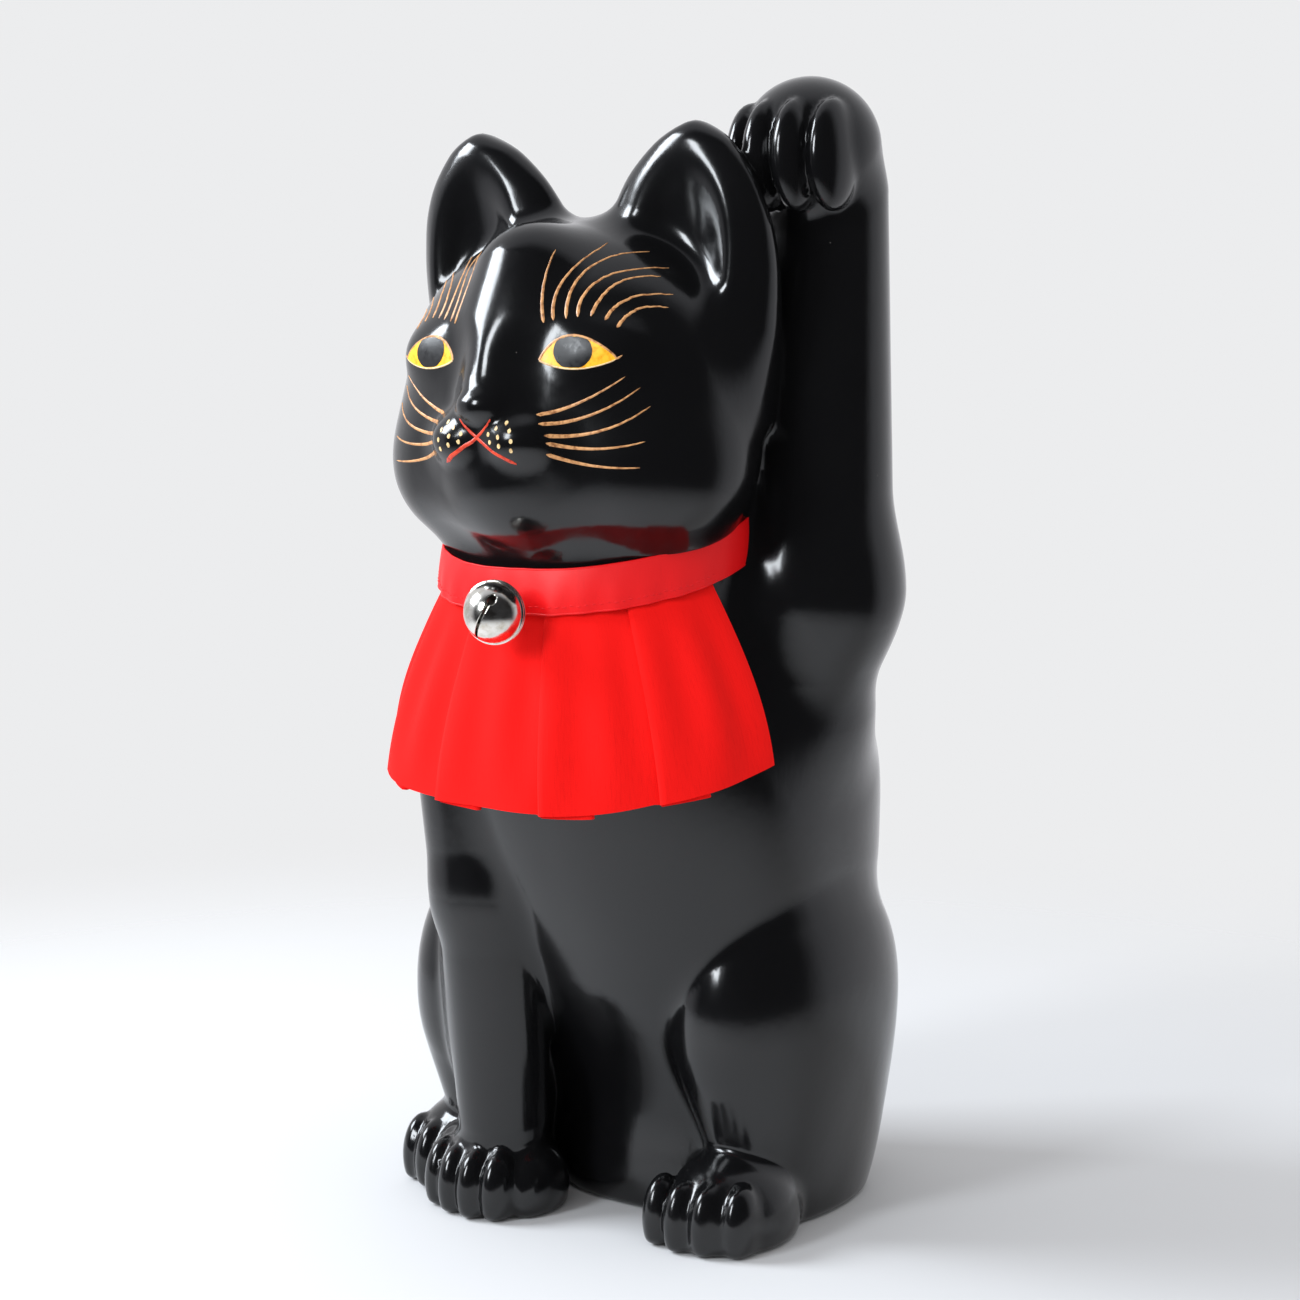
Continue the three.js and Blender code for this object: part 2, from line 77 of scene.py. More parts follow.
def ellipsoid(p, centre, radii, turn=None):
    q = p - vec(*centre)
    if turn is not None:
        q = q @ turn
    r = vec(*radii)
    k0 = np.linalg.norm(q / r, axis=-1)
    k1 = np.linalg.norm(q / (r * r), axis=-1)
    return k0 * (k0 - 1) / np.maximum(k1, 1e-6)


def bulge(p, centre, radii, power):
    """An ellipsoid with fuller corners: power 2 is the plain one."""
    r = vec(*radii)
    q = np.abs(p - vec(*centre)) / r
    return ((q ** power).sum(-1) ** (1 / power) - 1) * float(r.min())


def limb(p, start, end, start_radius, end_radius):
    a, b = vec(*start), vec(*end)
    along = b - a
    t = np.clip(((p - a) @ along) / (along @ along), 0, 1)
    q = p - a - t[..., None] * along
    return np.linalg.norm(q, axis=-1) - (start_radius + (end_radius - start_radius) * t)


def blend_min(a, b, k):
    h = np.clip(0.5 + 0.5 * (b - a) / k, 0, 1)
    return b + (a - b) * h - k * h * (1 - h)


def blend_max(a, b, k):
    return -blend_min(-a, -b, k)


def smooth_read(knots, at):
    """A smooth curve through (height, value) knots."""
    heights = np.array([k[0] for k in knots], np.float32)
    values = np.array([k[1] for k in knots], np.float32)
    step = np.diff(heights)
    rise = np.diff(values) / step
    slope = np.empty_like(values)
    slope[0], slope[-1] = rise[0], rise[-1]
    slope[1:-1] = (rise[:-1] * step[1:] + rise[1:] * step[:-1]) / (step[1:] + step[:-1])
    i = np.clip(np.searchsorted(heights, at) - 1, 0, len(step) - 1)
    t = np.clip((at - heights[i]) / step[i], 0, 1)
    t2, t3 = t * t, t * t * t
    return ((2 * t3 - 3 * t2 + 1) * values[i] + (t3 - 2 * t2 + t) * step[i] * slope[i]
            + (3 * t2 - 2 * t3) * values[i + 1] + (t3 - t2) * step[i] * slope[i + 1])


# ------------------------------------------------------------------ the cat's shape
# height, half width, front y, back y
TORSO = [
    (-10, 40, -8, 50), (0, 42, -12, 57), (30, 45, -12, 66), (75, 54, -34, 73), (112, 60, -51, 76),
    (145, 60, -60, 73), (172, 53, -62, 56), (198, 46, -64, 28), (212, 44, -62, 15), (225, 38, -58, 8),
    (242, 20, -45, -5),
]
TORSO_POWER = 2.35
TORSO_TOP = 237


def torso_section(p, z):
    half = smooth_read([(s[0], s[1]) for s in TORSO], z)
    front = smooth_read([(s[0], s[2]) for s in TORSO], z)
    back = smooth_read([(s[0], s[3]) for s in TORSO], z)
    deep = (back - front) / 2
    q = (np.abs(p[..., 0] / half) ** TORSO_POWER
         + np.abs((p[..., 1] - (front + back) / 2) / deep) ** TORSO_POWER) ** (1 / TORSO_POWER)
    return (q - 1) * np.minimum(half, deep)


def torso(p):
    z = p[..., 2]
    return blend_max(torso_section(p, z), z - TORSO_TOP, 10)


def head(p):
    d = ellipsoid(p, (0, HEAD_Y, HEAD_Z), (54, 44, 44))
    for side in (-1, 1):
        d = blend_min(d, ellipsoid(p, (side * 26, HEAD_Y - 6, 229), (31.5, 32, 27)), 14)
    d = blend_min(d, ellipsoid(p, (0, -60, 224), (24, 18, 19)), 12)
    d = blend_min(d, ellipsoid(p, (0, -66, 236), (23, 15, 14)), 8)
    for side in (-1, 1):
        d = blend_min(d, ellipsoid(p, (side * 9, -75.5, 236.5), (10.5, 9, 7.5)), 3.5)
    d = blend_min(d, ellipsoid(p, (0, -69, 224.5), (13, 9, 7)), 8)
    d = blend_min(d, limb(p, (0, -58, 282), (0, -75.5, 250), 14, 7.5), 10)
    d = blend_min(d, ellipsoid(p, (0, -80.5, 246), (7.5, 6, 5)), 2.5)
    for side in (-1, 1):
        d = blend_max(d, -ellipsoid(p, (side * 20, -87.5, 262), (13, 10, 9)), 9)
        d = blend_min(d, ellipsoid(p, (side * 26, -60, EYE_Z), (15, 10.5, 9.5)), 6)
    return d


EAR_PLACE = (34, -31, 290)
# height above the ear's middle, edge towards the crown, outer edge
EAR_OUTLINE = [
    (-50, -32, 20), (-20, -33, 26), (0, -30, 27), (12, -24, 25), (22, -17, 20.5), (32, -5, 12), (37, 3, 6),
]
EAR_ROOT = 50
EAR_THICKNESS = [(-50, 22), (-20, 19), (0, 14), (18, 9), (37, 5)]
EAR_MIDDLE = [(-50, 8), (-20, 6), (0, 3), (18, 0), (37, -1)]


def ear(p, side):
    q = p - vec(side * EAR_PLACE[0], EAR_PLACE[1], EAR_PLACE[2])
    x = q[..., 0] * side
    z = q[..., 2]
    inner = smooth_read([(k[0], k[1]) for k in EAR_OUTLINE], z)
    outer = smooth_read([(k[0], k[2]) for k in EAR_OUTLINE], z)
    wide = np.maximum((outer - inner) / 2, 0.5)
    thick = smooth_read(EAR_THICKNESS, z)
    middle = smooth_read(EAR_MIDDLE, z)
    q = np.sqrt(((x - (inner + outer) / 2) / wide) ** 2 + ((q[..., 1] - middle) / thick) ** 2)
    d = (q - 1) * np.minimum(wide, thick)
    d = blend_max(d, z - 35, 7)
    d = blend_max(d, -EAR_ROOT - z, 3)
    mirrored = np.stack([x, p[..., 1] - EAR_PLACE[1], z], -1)
    scoop = ellipsoid(mirrored, (3, -18, -3), (18.5, 15.5, 33))
    return blend_max(d, -scoop, 4)


TOE_RADII = (5.2, 8, 12.5)


def toes(p, d, tips, radii, z, k=1.4):
    for x, front in tips:
        d = blend_min(d, ellipsoid(p, (x, front + radii[1], z), radii), k)
    return d


def foreleg(p):
    d = limb(p, (-37, -35, 152), (-35, -35, 98), 21.5, 17.5)
    d = blend_min(d, limb(p, (-34, -35, 100), (-33, -31, 28), 17, 14), 6)
    paw = ellipsoid(p, (-36, -29, 8), (19, 20, 19))
    paw = blend_min(paw, ellipsoid(p, (-20, -30, 6), (6, 12, 14)), 4)
    paw = toes(p, paw, [(-49, -48), (-41, -51.5), (-33, -52.5), (-25.5, -50.5)], TOE_RADII, 8)
    return blend_min(d, paw, 4)


# haunch middle x, y, then the foot's middle x and its front y
HAUNCHES = {1: (40, 16, 39.5, -40), -1: (-51.5, 8, -58, -37)}


def haunch(p, side):
    x, y, foot_x, foot_front = HAUNCHES[side]
    d = bulge(p, (x, y, 65), (26.5, 47, 46), 2.15)
    d = blend_min(d, ellipsoid(p, (x + side * 1.5, y + 6, 22), (16, 38, 40)), 14)
    foot = ellipsoid(p, (foot_x + side, foot_front + 25, 7), (19, 23.5, 20))
    tips = [(foot_x + side * dx, foot_front + dy) for dx, dy in ((-13, 1), (-4.4, -1), (4.2, 0), (12.6, 4))]
    foot = toes(p, foot, tips, TOE_RADII, 8)
    return blend_min(d, foot, 3)


def body(p):
    d = blend_min(torso(p), head(p), 8)
    for side in (-1, 1):
        d = blend_min(d, ear(p, side), 7)
        d = blend_min(d, haunch(p, side), 4)
    return blend_min(d, foreleg(p), 6)


def raised_arm(p):
    d = limb(p, (40, 13, 162), (52.5, 8, 192), 25.5, 24)
    d = blend_min(d, limb(p, (52.5, 8, 192), (57, 8, 306), 24, 17.2), 14)
    ball = ellipsoid(p, (57, -2, PAW_Z), (19.8, 21, 20))
    tips = [(43.6, -22.5), (52.2, -27.6), (61.6, -27.6), (70, -22.5)]
    ball = toes(p, ball, tips, (5.6, 11, 15.5), PAW_Z - 3, 1)
    d = blend_min(d, ball, 5)
    web = ellipsoid(p, (45, 4, 238), (10, 13, 64))
    return blend_min(d, web, 8)


TAIL_PATH = [(6, 67, 14), (24, 69, 22), (32, 63, 40), (26, 66, 56)]
TAIL_RADII = [9, 8.5, 7.5, 6.5]


def tail(p):
    d = None
    for i in range(len(TAIL_PATH) - 1):
        piece = limb(p, TAIL_PATH[i], TAIL_PATH[i + 1], TAIL_RADII[i], TAIL_RADII[i + 1])
        d = piece if d is None else blend_min(d, piece, 3)
    return d


def arm_blend(p):
    """The arm flows into the shoulder, and meets the head in a sharp crease."""
    return np.interp(p[..., 2], [165, 195, 228], [18, 12, 2]).astype(np.float32)


def cat(p):
    d = blend_min(body(p), raised_arm(p), arm_blend(p))
    d = blend_min(d, tail(p), 2)
    return blend_max(d, -p[..., 2], FLOOR_EDGE)


# ------------------------------------------------------------------ skin from the field
def gradient(field, p, e=0.25):
    """Slope of a field by four samples at the corners of a tetrahedron."""
    corners = np.array([(1, 1, 1), (1, -1, -1), (-1, 1, -1), (-1, -1, 1)], np.float32)
    total = np.zeros_like(p)
    for corner in corners:
        total += field(p + corner * e)[:, None] * corner
    return total / (4 * e)


def land(field, p, rounds=2):
    """Moves points onto the field's zero surface, and returns them with their outward normals."""
    for _ in range(rounds):
        g = gradient(field, p)
        p = p - g * (field(p) / np.maximum((g * g).sum(-1), 1e-3))[:, None]
    g = gradient(field, p)
    return p, g / np.maximum(np.linalg.norm(g, axis=-1), 1e-6)[:, None]


def polygonise(field, low, high, cell):
    """Quads over the field's zero surface. Only the blocks near the surface are sampled finely."""
    block = 4
    low = np.array(low, np.float32)
    blocks = np.ceil((np.array(high) - low) / (cell * block)).astype(int)
    middles = np.stack(np.meshgrid(*[np.arange(n) for n in blocks], indexing="ij"), -1).reshape(-1, 3)
    half = cell * block / 2
    rough = field(low + (middles * block * cell + half - cell / 2).astype(np.float32))
    values = np.repeat(np.repeat(np.repeat(
        rough.reshape(blocks), block, 0), block, 1), block, 2).astype(np.float32)
    near = middles[np.abs(rough) < half * 2.2 + 3]
    offsets = np.stack(np.meshgrid(*[np.arange(block)] * 3, indexing="ij"), -1).reshape(-1, 3)
    for part in np.array_split(near, max(1, len(near) // 4000)):
        cells = (part[:, None, :] * block + offsets[None]).reshape(-1, 3)
        values[cells[:, 0], cells[:, 1], cells[:, 2]] = field(low + cells.astype(np.float32) * cell)
    grid = openvdb.FloatGrid()
    grid.copyFromArray(values)
    points, quads = grid.convertToQuads()
    return low + np.array(points, np.float32) * cell, np.array(quads)


def footprint(p):
    """Below zero inside the base plate's opening."""
    return torso_section(p, np.zeros(len(p), np.float32)) + PLATE_INSET


FRONT, REAR, ARM, TAIL, OPENING = range(5)
BORDERS = [
    ({FRONT, REAR}, lambda p: p[..., 1] - SEAM_Y),
    ({FRONT, ARM}, lambda p: raised_arm(p) - body(p)),
    ({REAR, ARM}, lambda p: raised_arm(p) - body(p)),
    ({REAR, TAIL}, lambda p: tail(p) - body(p)),
    ({FRONT, OPENING}, footprint),
    ({REAR, OPENING}, footprint),
]


def sort_faces(middles):
    kind = np.where(middles[:, 1] < SEAM_Y, FRONT, REAR)
    skin = body(middles)
    kind[raised_arm(middles) < skin] = ARM
    kind[tail(middles) < skin] = TAIL
    kind[(middles[:, 2] < 0.5 * FLOOR_EDGE) & (footprint(middles) < 0)] = OPENING
    return kind


def straighten_borders(points, quads, kind):
    """Moves the points between two kinds of face onto the true line between them."""
    seen = np.zeros((len(points), 5), bool)
    for column in range(4):
        seen[quads[:, column], kind] = True
    for pair, split in BORDERS:
        a, b = sorted(pair)
        on_border = np.flatnonzero(seen[:, a] & seen[:, b] & (seen.sum(1) == 2))
        if not len(on_border):
            continue
        p = points[on_border]
        for _ in range(3):
            g = gradient(split, p)
            p = p - np.clip(split(p), -CELL, CELL)[:, None] * g / np.maximum((g * g).sum(-1), 0.05)[:, None]
            p, _ = land(cat, p, 1)
        points[on_border] = p
    return points


def mesh_piece(name, points, faces, normals=None, smooth=True):
    """A mesh object from points in millimetres."""
    mesh = bpy.data.meshes.new(name)
    mesh.from_pydata((np.asarray(points) * MM).tolist(), [], [tuple(int(i) for i in f) for f in faces])
    mesh.update()
    mesh.polygons.foreach_set("use_smooth", [smooth] * len(mesh.polygons))
    if normals is not None:
        mesh.normals_split_custom_set_from_vertices(np.asarray(normals).tolist())
    piece = bpy.data.objects.new(name, mesh)
    bpy.context.scene.collection.objects.link(piece)
    return piece


def thick_skin(name, points, quads, normals):
    """The chosen quads as a closed wall: the skin, an inner copy of it and a rim round every edge."""
    used, flat = np.unique(quads, return_inverse=True)
    faces = flat.reshape(-1, 4)
    p, n = points[used], normals[used]
    count = len(used)
    depth = np.clip(-cat(p - n * WALL), 0.5, WALL)[:, None]
    sides = np.concatenate([faces[:, [i, (i + 1) % 4]] for i in range(4)])
    key = sides.min(1).astype(np.int64) * count + sides.max(1)
    _, first, times = np.unique(key, return_index=True, return_counts=True)
    rim = sides[first[times == 1]]
    walls = np.stack([rim[:, 1], rim[:, 0], rim[:, 0] + count, rim[:, 1] + count], 1)
    return mesh_piece(name, np.concatenate([p, p - n * depth]),
                      np.concatenate([faces, faces[:, ::-1] + count, walls]),
                      np.concatenate([n, -n]))


def cat_skin():
    low = [v / MM for v in CAD_BOX[0]]
    high = [v / MM for v in CAD_BOX[1]]
    points, quads = polygonise(cat, [v - 8 for v in low], [v + 8 for v in high], CELL)
    points, _ = land(cat, points)
    kind = sort_faces(points[quads].mean(1))
    points = straighten_borders(points, quads, kind)
    _, normals = land(cat, points, 0)
    nodes = {"front_shell": FRONT, "rear_shell": REAR, "raised_arm": ARM, "tail": TAIL}
    return {node: thick_skin(node + "_skin", points, quads[kind == what], normals)
            for node, what in nodes.items()}


# ------------------------------------------------------------------ materials
WAVE_TURN = 2 * math.pi / 20        # Blender's wave bands repeat every 2 pi / 20 at scale one


def new_material(name):
    material = bpy.data.materials.new(name)
    material.use_nodes = True
    nodes = material.node_tree.nodes
    return material, nodes, material.node_tree.links, nodes["Principled BSDF"]


def add_node(nodes, kind, **settings):
    node = nodes.new(kind)
    for key, value in settings.items():
        if key in node.inputs:
            node.inputs[key].default_value = value
        else:
            setattr(node, key.lower().replace(" ", "_"), value)
    return node


def object_place(nodes):
    return add_node(nodes, "ShaderNodeTexCoord").outputs["Object"]


def noise(nodes, links, place, scale, detail, roughness=0.5):
    """A noise texture, read at a place socket."""
    node = add_node(nodes, "ShaderNodeTexNoise", Scale=scale, Detail=detail, Roughness=roughness)
    links.new(place, node.inputs["Vector"])
    return node.outputs["Fac"]


def stretched(nodes, links, place, scale):
    """A place socket, scaled along each axis."""
    node = add_node(nodes, "ShaderNodeMapping", Scale=scale)
    links.new(place, node.inputs["Vector"])
    return node.outputs["Vector"]


def ramp(nodes, links, factor, *stops, interpolation="LINEAR"):
    """A factor socket turned to greys or colours, by (place, value) stops."""
    node = nodes.new("ShaderNodeValToRGB")
    node.color_ramp.interpolation = interpolation
    while len(node.color_ramp.elements) < len(stops):
        node.color_ramp.elements.new(0.5)
    for element, (place, value) in zip(node.color_ramp.elements, stops):
        element.position = place
        element.color = value if hasattr(value, "__len__") else (value, value, value, 1)
    links.new(factor, node.inputs["Fac"])
    return node.outputs["Color"]


def reckon(nodes, links, operation, *values):
    """A math node. Each value is a number or a socket to read."""
    node = add_node(nodes, "ShaderNodeMath", operation=operation)
    for value, socket in zip(values, node.inputs):
        if isinstance(value, bpy.types.NodeSocket):
            links.new(value, socket)
        else:
            socket.default_value = value
    return node.outputs[0]


def bump(nodes, links, height, strength, distance, under=None):
    """A bump from a height socket, laid over the normal of another bump."""
    node = add_node(nodes, "ShaderNodeBump", Strength=strength, Distance=distance)
    links.new(height, node.inputs["Height"])
    if under is not None:
        links.new(under, node.inputs["Normal"])
    return node.outputs["Normal"]


def lacquer():
    """Hand-brushed black lacquer: a deep gloss with faint ripples, brush drag and a few dust specks."""
    material, nodes, links, shader = new_material("black_lacquer")
    place = object_place(nodes)
    specks = add_node(nodes, "ShaderNodeTexVoronoi", Scale=210.0)
    links.new(place, specks.inputs["Vector"])
    separate = add_node(nodes, "ShaderNodeSeparateColor")
    links.new(specks.outputs["Color"], separate.inputs["Color"])
    speck = ramp(nodes, links, specks.outputs["Distance"], (0.0, 1.0), (0.045, 0.0))
    chosen = reckon(nodes, links, "GREATER_THAN", separate.outputs["Red"], 0.86)
    colour = add_node(nodes, "ShaderNodeMix", data_type="RGBA")
    colour.inputs["A"].default_value = (0.0042, 0.0042, 0.0046, 1)
    colour.inputs["B"].default_value = (0.16, 0.15, 0.14, 1)
    links.new(reckon(nodes, links, "MULTIPLY", speck, chosen), colour.inputs["Factor"])
    links.new(colour.outputs["Result"], shader.inputs["Base Color"])
    cloud = noise(nodes, links, place, 38.0, 4.0, 0.6)
    links.new(ramp(nodes, links, cloud, (0.3, 0.12), (0.72, 0.21)), shader.inputs["Roughness"])
    drag = noise(nodes, links, stretched(nodes, links, place, (1.0, 1.0, 0.28)), 900.0, 3.0, 0.55)
    ripple = noise(nodes, links, place, 130.0, 2.0)
    fine = bump(nodes, links, drag, 0.22, 0.00006)
    links.new(bump(nodes, links, ripple, 0.4, 0.00016, fine), shader.inputs["Normal"])
    shader.inputs["IOR"].default_value = 1.5
    shader.inputs["Coat Weight"].default_value = 0.1
    shader.inputs["Coat Roughness"].default_value = 0.1
    return material


def linear(red, green, blue):
    """A display colour, 0 to 255, as the shader's linear colour."""
    return tuple((v / 255 / 12.92 if v < 10.3 else ((v / 255 + 0.055) / 1.055) ** 2.4)
                 for v in (red, green, blue)) + (1,)


def enamel(name, colour, thin_colour):
    """Brushed enamel line: the colour goes thinner and darker in places, with a soft gloss."""
    material, nodes, links, shader = new_material(name)
    load = noise(nodes, links, object_place(nodes), 700.0, 3.0, 0.6)
    links.new(ramp(nodes, links, load, (0.34, thin_colour), (0.56, colour)), shader.inputs["Base Color"])
    links.new(ramp(nodes, links, load, (0.3, 0.26), (0.7, 0.42)), shader.inputs["Roughness"])
    links.new(bump(nodes, links, load, 0.3, 0.00005), shader.inputs["Normal"])
    return material


def threads(nodes, links, across_pitch, along_pitch):
    """The flat coordinates, and two sets of crossing threads over them as one height."""
    flat = add_node(nodes, "ShaderNodeUVMap", uv_map="flat").outputs["UV"]
    heights = []
    for direction, pitch in (("X", across_pitch), ("Y", along_pitch)):
        wave = add_node(nodes, "ShaderNodeTexWave", wave_type="BANDS", bands_direction=direction,
                        Scale=WAVE_TURN / pitch, Distortion=0.6, Detail=1.0)
        wave.inputs["Detail Scale"].default_value = 0.3
        links.new(flat, wave.inputs["Vector"])
        heights.append(wave.outputs["Fac"])
    return flat, reckon(nodes, links, "MULTIPLY", *heights)


def cloth(name, colour, dark, across_pitch, along_pitch, roughness, depth, sheen):
    """Woven cloth: crossing threads and slubs in height, with their low places painted darker as painted
    shade, and soft uneven dye.
    """
    material, nodes, links, shader = new_material(name)
    flat, weave = threads(nodes, links, across_pitch, along_pitch)
    dye = noise(nodes, links, object_place(nodes), 26.0, 4.0, 0.6)
    slub = noise(nodes, links, stretched(nodes, links, flat, (1800.0, 160.0, 1.0)), 1.0, 3.0, 0.6)
    relief = reckon(nodes, links, "MULTIPLY_ADD", weave, 0.5, slub)
    # painted shade: the low places of the weave and slubs are coloured darker, on top of the dye's own uneven
    # colour
    shade = reckon(nodes, links, "MULTIPLY_ADD", dye, 0.45, relief)
    links.new(ramp(nodes, links, shade, (0.25, dark), (0.75, colour)), shader.inputs["Base Color"])
    weave_normal = bump(nodes, links, relief, 0.5, depth)
    links.new(bump(nodes, links, dye, 0.35, 0.0006, weave_normal), shader.inputs["Normal"])
    shader.inputs["Roughness"].default_value = roughness
    shader.inputs["Sheen Weight"].default_value = sheen
    shader.inputs["Sheen Roughness"].default_value = 0.45
    shader.inputs["Sheen Tint"].default_value = (1.0, 0.3, 0.25, 1)
    shader.inputs["Specular IOR Level"].default_value = 0.15
    return material


def satin():
    material = cloth("red_satin", linear(224, 6, 12), linear(200, 3, 8), 0.00022, 0.00045, 0.42, 0.00003, 0.0)
    shader = material.node_tree.nodes["Principled BSDF"]
    shader.inputs["Specular IOR Level"].default_value = 0.3
    shader.inputs["Anisotropic"].default_value = 0.45
    return material


def metal(name, colour, low, high, scratch, tarnish):
    """Plated metal: a bright reflection broken by fine scratches, smudges and a little tarnish."""
    material, nodes, links, shader = new_material(name)
    place = object_place(nodes)
    smudge = noise(nodes, links, place, 240.0, 4.0, 0.6)
    links.new(ramp(nodes, links, smudge, (0.35, low), (0.75, high)), shader.inputs["Roughness"])
    links.new(ramp(nodes, links, smudge, (0.3, tarnish), (0.5, colour)), shader.inputs["Base Color"])
    lines = noise(nodes, links, stretched(nodes, links, place, (260.0, 2600.0, 900.0)), 1.0, 2.0)
    links.new(bump(nodes, links, lines, scratch, 0.00002), shader.inputs["Normal"])
    shader.inputs["Metallic"].default_value = 1.0
    return material


def bare_clay():
    """The unglazed plate underneath: buff clay with grit and cloudy patches."""
    material, nodes, links, shader = new_material("bare_clay")
    place = object_place(nodes)
    grit = noise(nodes, links, place, 420.0, 6.0, 0.7)
    cloud = noise(nodes, links, place, 22.0, 3.0)
    mixed = reckon(nodes, links, "MULTIPLY_ADD", grit, 0.55, cloud)
    tone = ramp(nodes, links, mixed, (0.45, linear(96, 82, 68)), (0.7, linear(150, 131, 110)),
                (1.0, linear(182, 164, 142)))
    links.new(tone, shader.inputs["Base Color"])
    links.new(bump(nodes, links, grit, 0.5, 0.0003), shader.inputs["Normal"])
    shader.inputs["Roughness"].default_value = 0.88
    return material


# ------------------------------------------------------------------ pieces and where they belong
def dress(piece, material, body_name):
    piece.data.materials.clear()
    piece.data.materials.append(material)
    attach(piece, body_name)
    return piece


# ------------------------------------------------------------------ mesh parts
# Each part is its points, its faces and its flat coordinates, in millimetres.
def grid_parts(middle, thickness, wrap=False):
    """A closed sheet of even thickness about a grid of middle points, optionally joined end to end."""
    rows, columns = middle.shape[:2]
    if wrap:
        along = np.roll(middle, -1, 0) - np.roll(middle, 1, 0)
    else:
        along = np.gradient(middle, axis=0)
    normal = np.cross(along, np.gradient(middle, axis=1))
    normal /= np.maximum(np.linalg.norm(normal, axis=-1, keepdims=True), 1e-9)
    layers = [middle + normal * thickness / 2, middle - normal * thickness / 2]
    top = np.arange(rows * columns).reshape(rows, columns)
    if wrap:
        top = np.concatenate([top, top[:1]])
    low = top + rows * columns
    faces = [
        (top[:-1, :-1], top[1:, :-1], top[1:, 1:], top[:-1, 1:]),
        (low[:-1, 1:], low[1:, 1:], low[1:, :-1], low[:-1, :-1]),
        (top[:-1, 0], low[:-1, 0], low[1:, 0], top[1:, 0]),
        (top[1:, -1], low[1:, -1], low[:-1, -1], top[:-1, -1]),
    ]
    if not wrap:
        faces.append((top[0, 1:], low[0, 1:], low[0, :-1], top[0, :-1]))
        faces.append((top[-1, :-1], low[-1, :-1], low[-1, 1:], top[-1, 1:]))
    quads = np.concatenate([np.stack([corner.reshape(-1) for corner in face], 1) for face in faces])
    step_along = np.linalg.norm(np.diff(middle, axis=0), axis=-1).mean(1)
    step_across = np.linalg.norm(np.diff(middle, axis=1), axis=-1).mean(0)
    u = np.concatenate([[0], np.cumsum(step_along)])
    v = np.concatenate([[0], np.cumsum(step_across)])
    flat = np.stack(np.meshgrid(u, v, indexing="ij"), -1).reshape(-1, 2)
    points = np.concatenate([layer.reshape(-1, 3) for layer in layers])
    return points, quads.tolist(), np.concatenate([flat, flat])


def ring_parts(rings):
    """A closed tube through rings of points, each ring going round the tube's own direction."""
    count, around = rings.shape[:2]
    index = np.arange(count * around).reshape(count, around)
    turned = np.roll(index, -1, 1)
    sides = np.stack([index[:-1], turned[:-1], turned[1:], index[1:]], -1).reshape(-1, 4).tolist()
    caps = [index[0, ::-1].tolist(), index[-1].tolist()]
    return rings.reshape(-1, 3), sides + caps, np.zeros((count * around, 2))


def stroke_parts(points, normals, widths, height=0.16, depth=0.12, around=8):
    """A raised brush line: a low lens section that follows points on a surface."""
    tangent = np.gradient(points, axis=0)
    tangent /= np.maximum(np.linalg.norm(tangent, axis=-1, keepdims=True), 1e-9)
    side = np.cross(normals, tangent)
    angles = np.linspace(0, 2 * math.pi, around, endpoint=False)
    rise = np.where(np.sin(angles) > 0, height, depth) * np.sin(angles)
    rings = (points[:, None] + side[:, None] * np.cos(angles)[None, :, None] * widths[:, None, None] / 2
             + normals[:, None] * rise[None, :, None])
    return ring_parts(rings)


def assembled(name, parts, sharp=50):
    """One object from several mesh parts."""
    points = np.concatenate([part[0] for part in parts])
    flat = np.concatenate([part[2] for part in parts]) * MM
    faces = []
    first = 0
    for part in parts:
        faces += [[i + first for i in face] for face in part[1]]
        first += len(part[0])
    piece = mesh_piece(name, points, faces)
    mesh = piece.data
    corners = np.empty(len(mesh.loops), np.int32)
    mesh.loops.foreach_get("vertex_index", corners)
    mesh.uv_layers.new(name="flat").data.foreach_set("uv", flat[corners].astype(np.float32).ravel())
    mesh.set_sharp_from_angle(angle=math.radians(sharp))
    return piece


# ------------------------------------------------------------------ painted face
HEAD_AXIS_Y = -30


def face_points(angle, height):
    """Points on the face, by the angle round the head's axis in degrees from the nose, and their normals."""
    a = np.radians(np.asarray(angle, np.float32))
    start = np.stack([0 * a, 0 * a + HEAD_AXIS_Y, np.asarray(height, np.float32) + 0 * a], -1)
    direction = np.stack([np.sin(a), -np.cos(a), 0 * a], -1)
    reach = np.arange(24, 74, 0.5, dtype=np.float32)
    along = start[:, None] + direction[:, None] * reach[None, :, None]
    inside = body(along.reshape(-1, 3)).reshape(len(a), -1) < 0
    last = len(reach) - 1 - np.argmax(inside[:, ::-1], 1)
    return land(cat, (start + direction * reach[last][:, None]).astype(np.float32), 3)


# (angle, height) at the start, the middle and the end of each line on the cat's left side
BROWS = [
    ((20, 268.5), (18.5, 279), (21, 288.5)),
    ((23.5, 269), (27, 281.5), (46, 290.5)),
    ((28, 269.5), (36, 283.5), (65, 288)),
    ((32, 270), (41, 280.5), (69, 283.5)),
    ((36.5, 270), (46, 279), (63.5, 281)),
    ((41, 269), (50, 275), (65.5, 276)),
    ((44.5, 267), (52, 272), (62.5, 272.5)),
]
WHISKERS = [
    ((19, 243.5), (33, 247), (46.5, 254)),
    ((20, 241), (36, 243.5), (51, 251)),
    ((22, 238), (39, 239.3), (53.5, 246)),
    ((22.5, 236), (37.5, 234.5), (51.5, 236.5)),
    ((22.5, 233), (36.5, 230), (50, 229.5)),
]
MOUTH = ((5.6, 242.6), (0, 237.3), (-13.5, 230.4))
DOTS = [(11, 241.3), (8, 239.8), (12.5, 239.2), (5.2, 238.2), (9, 237.5), (5.9, 236.1), (13.2, 236.5),
        (9.3, 235.2), (13, 234)]
EYE_INNER, EYE_OUTER = (19, 258.3), (44, 258.8)
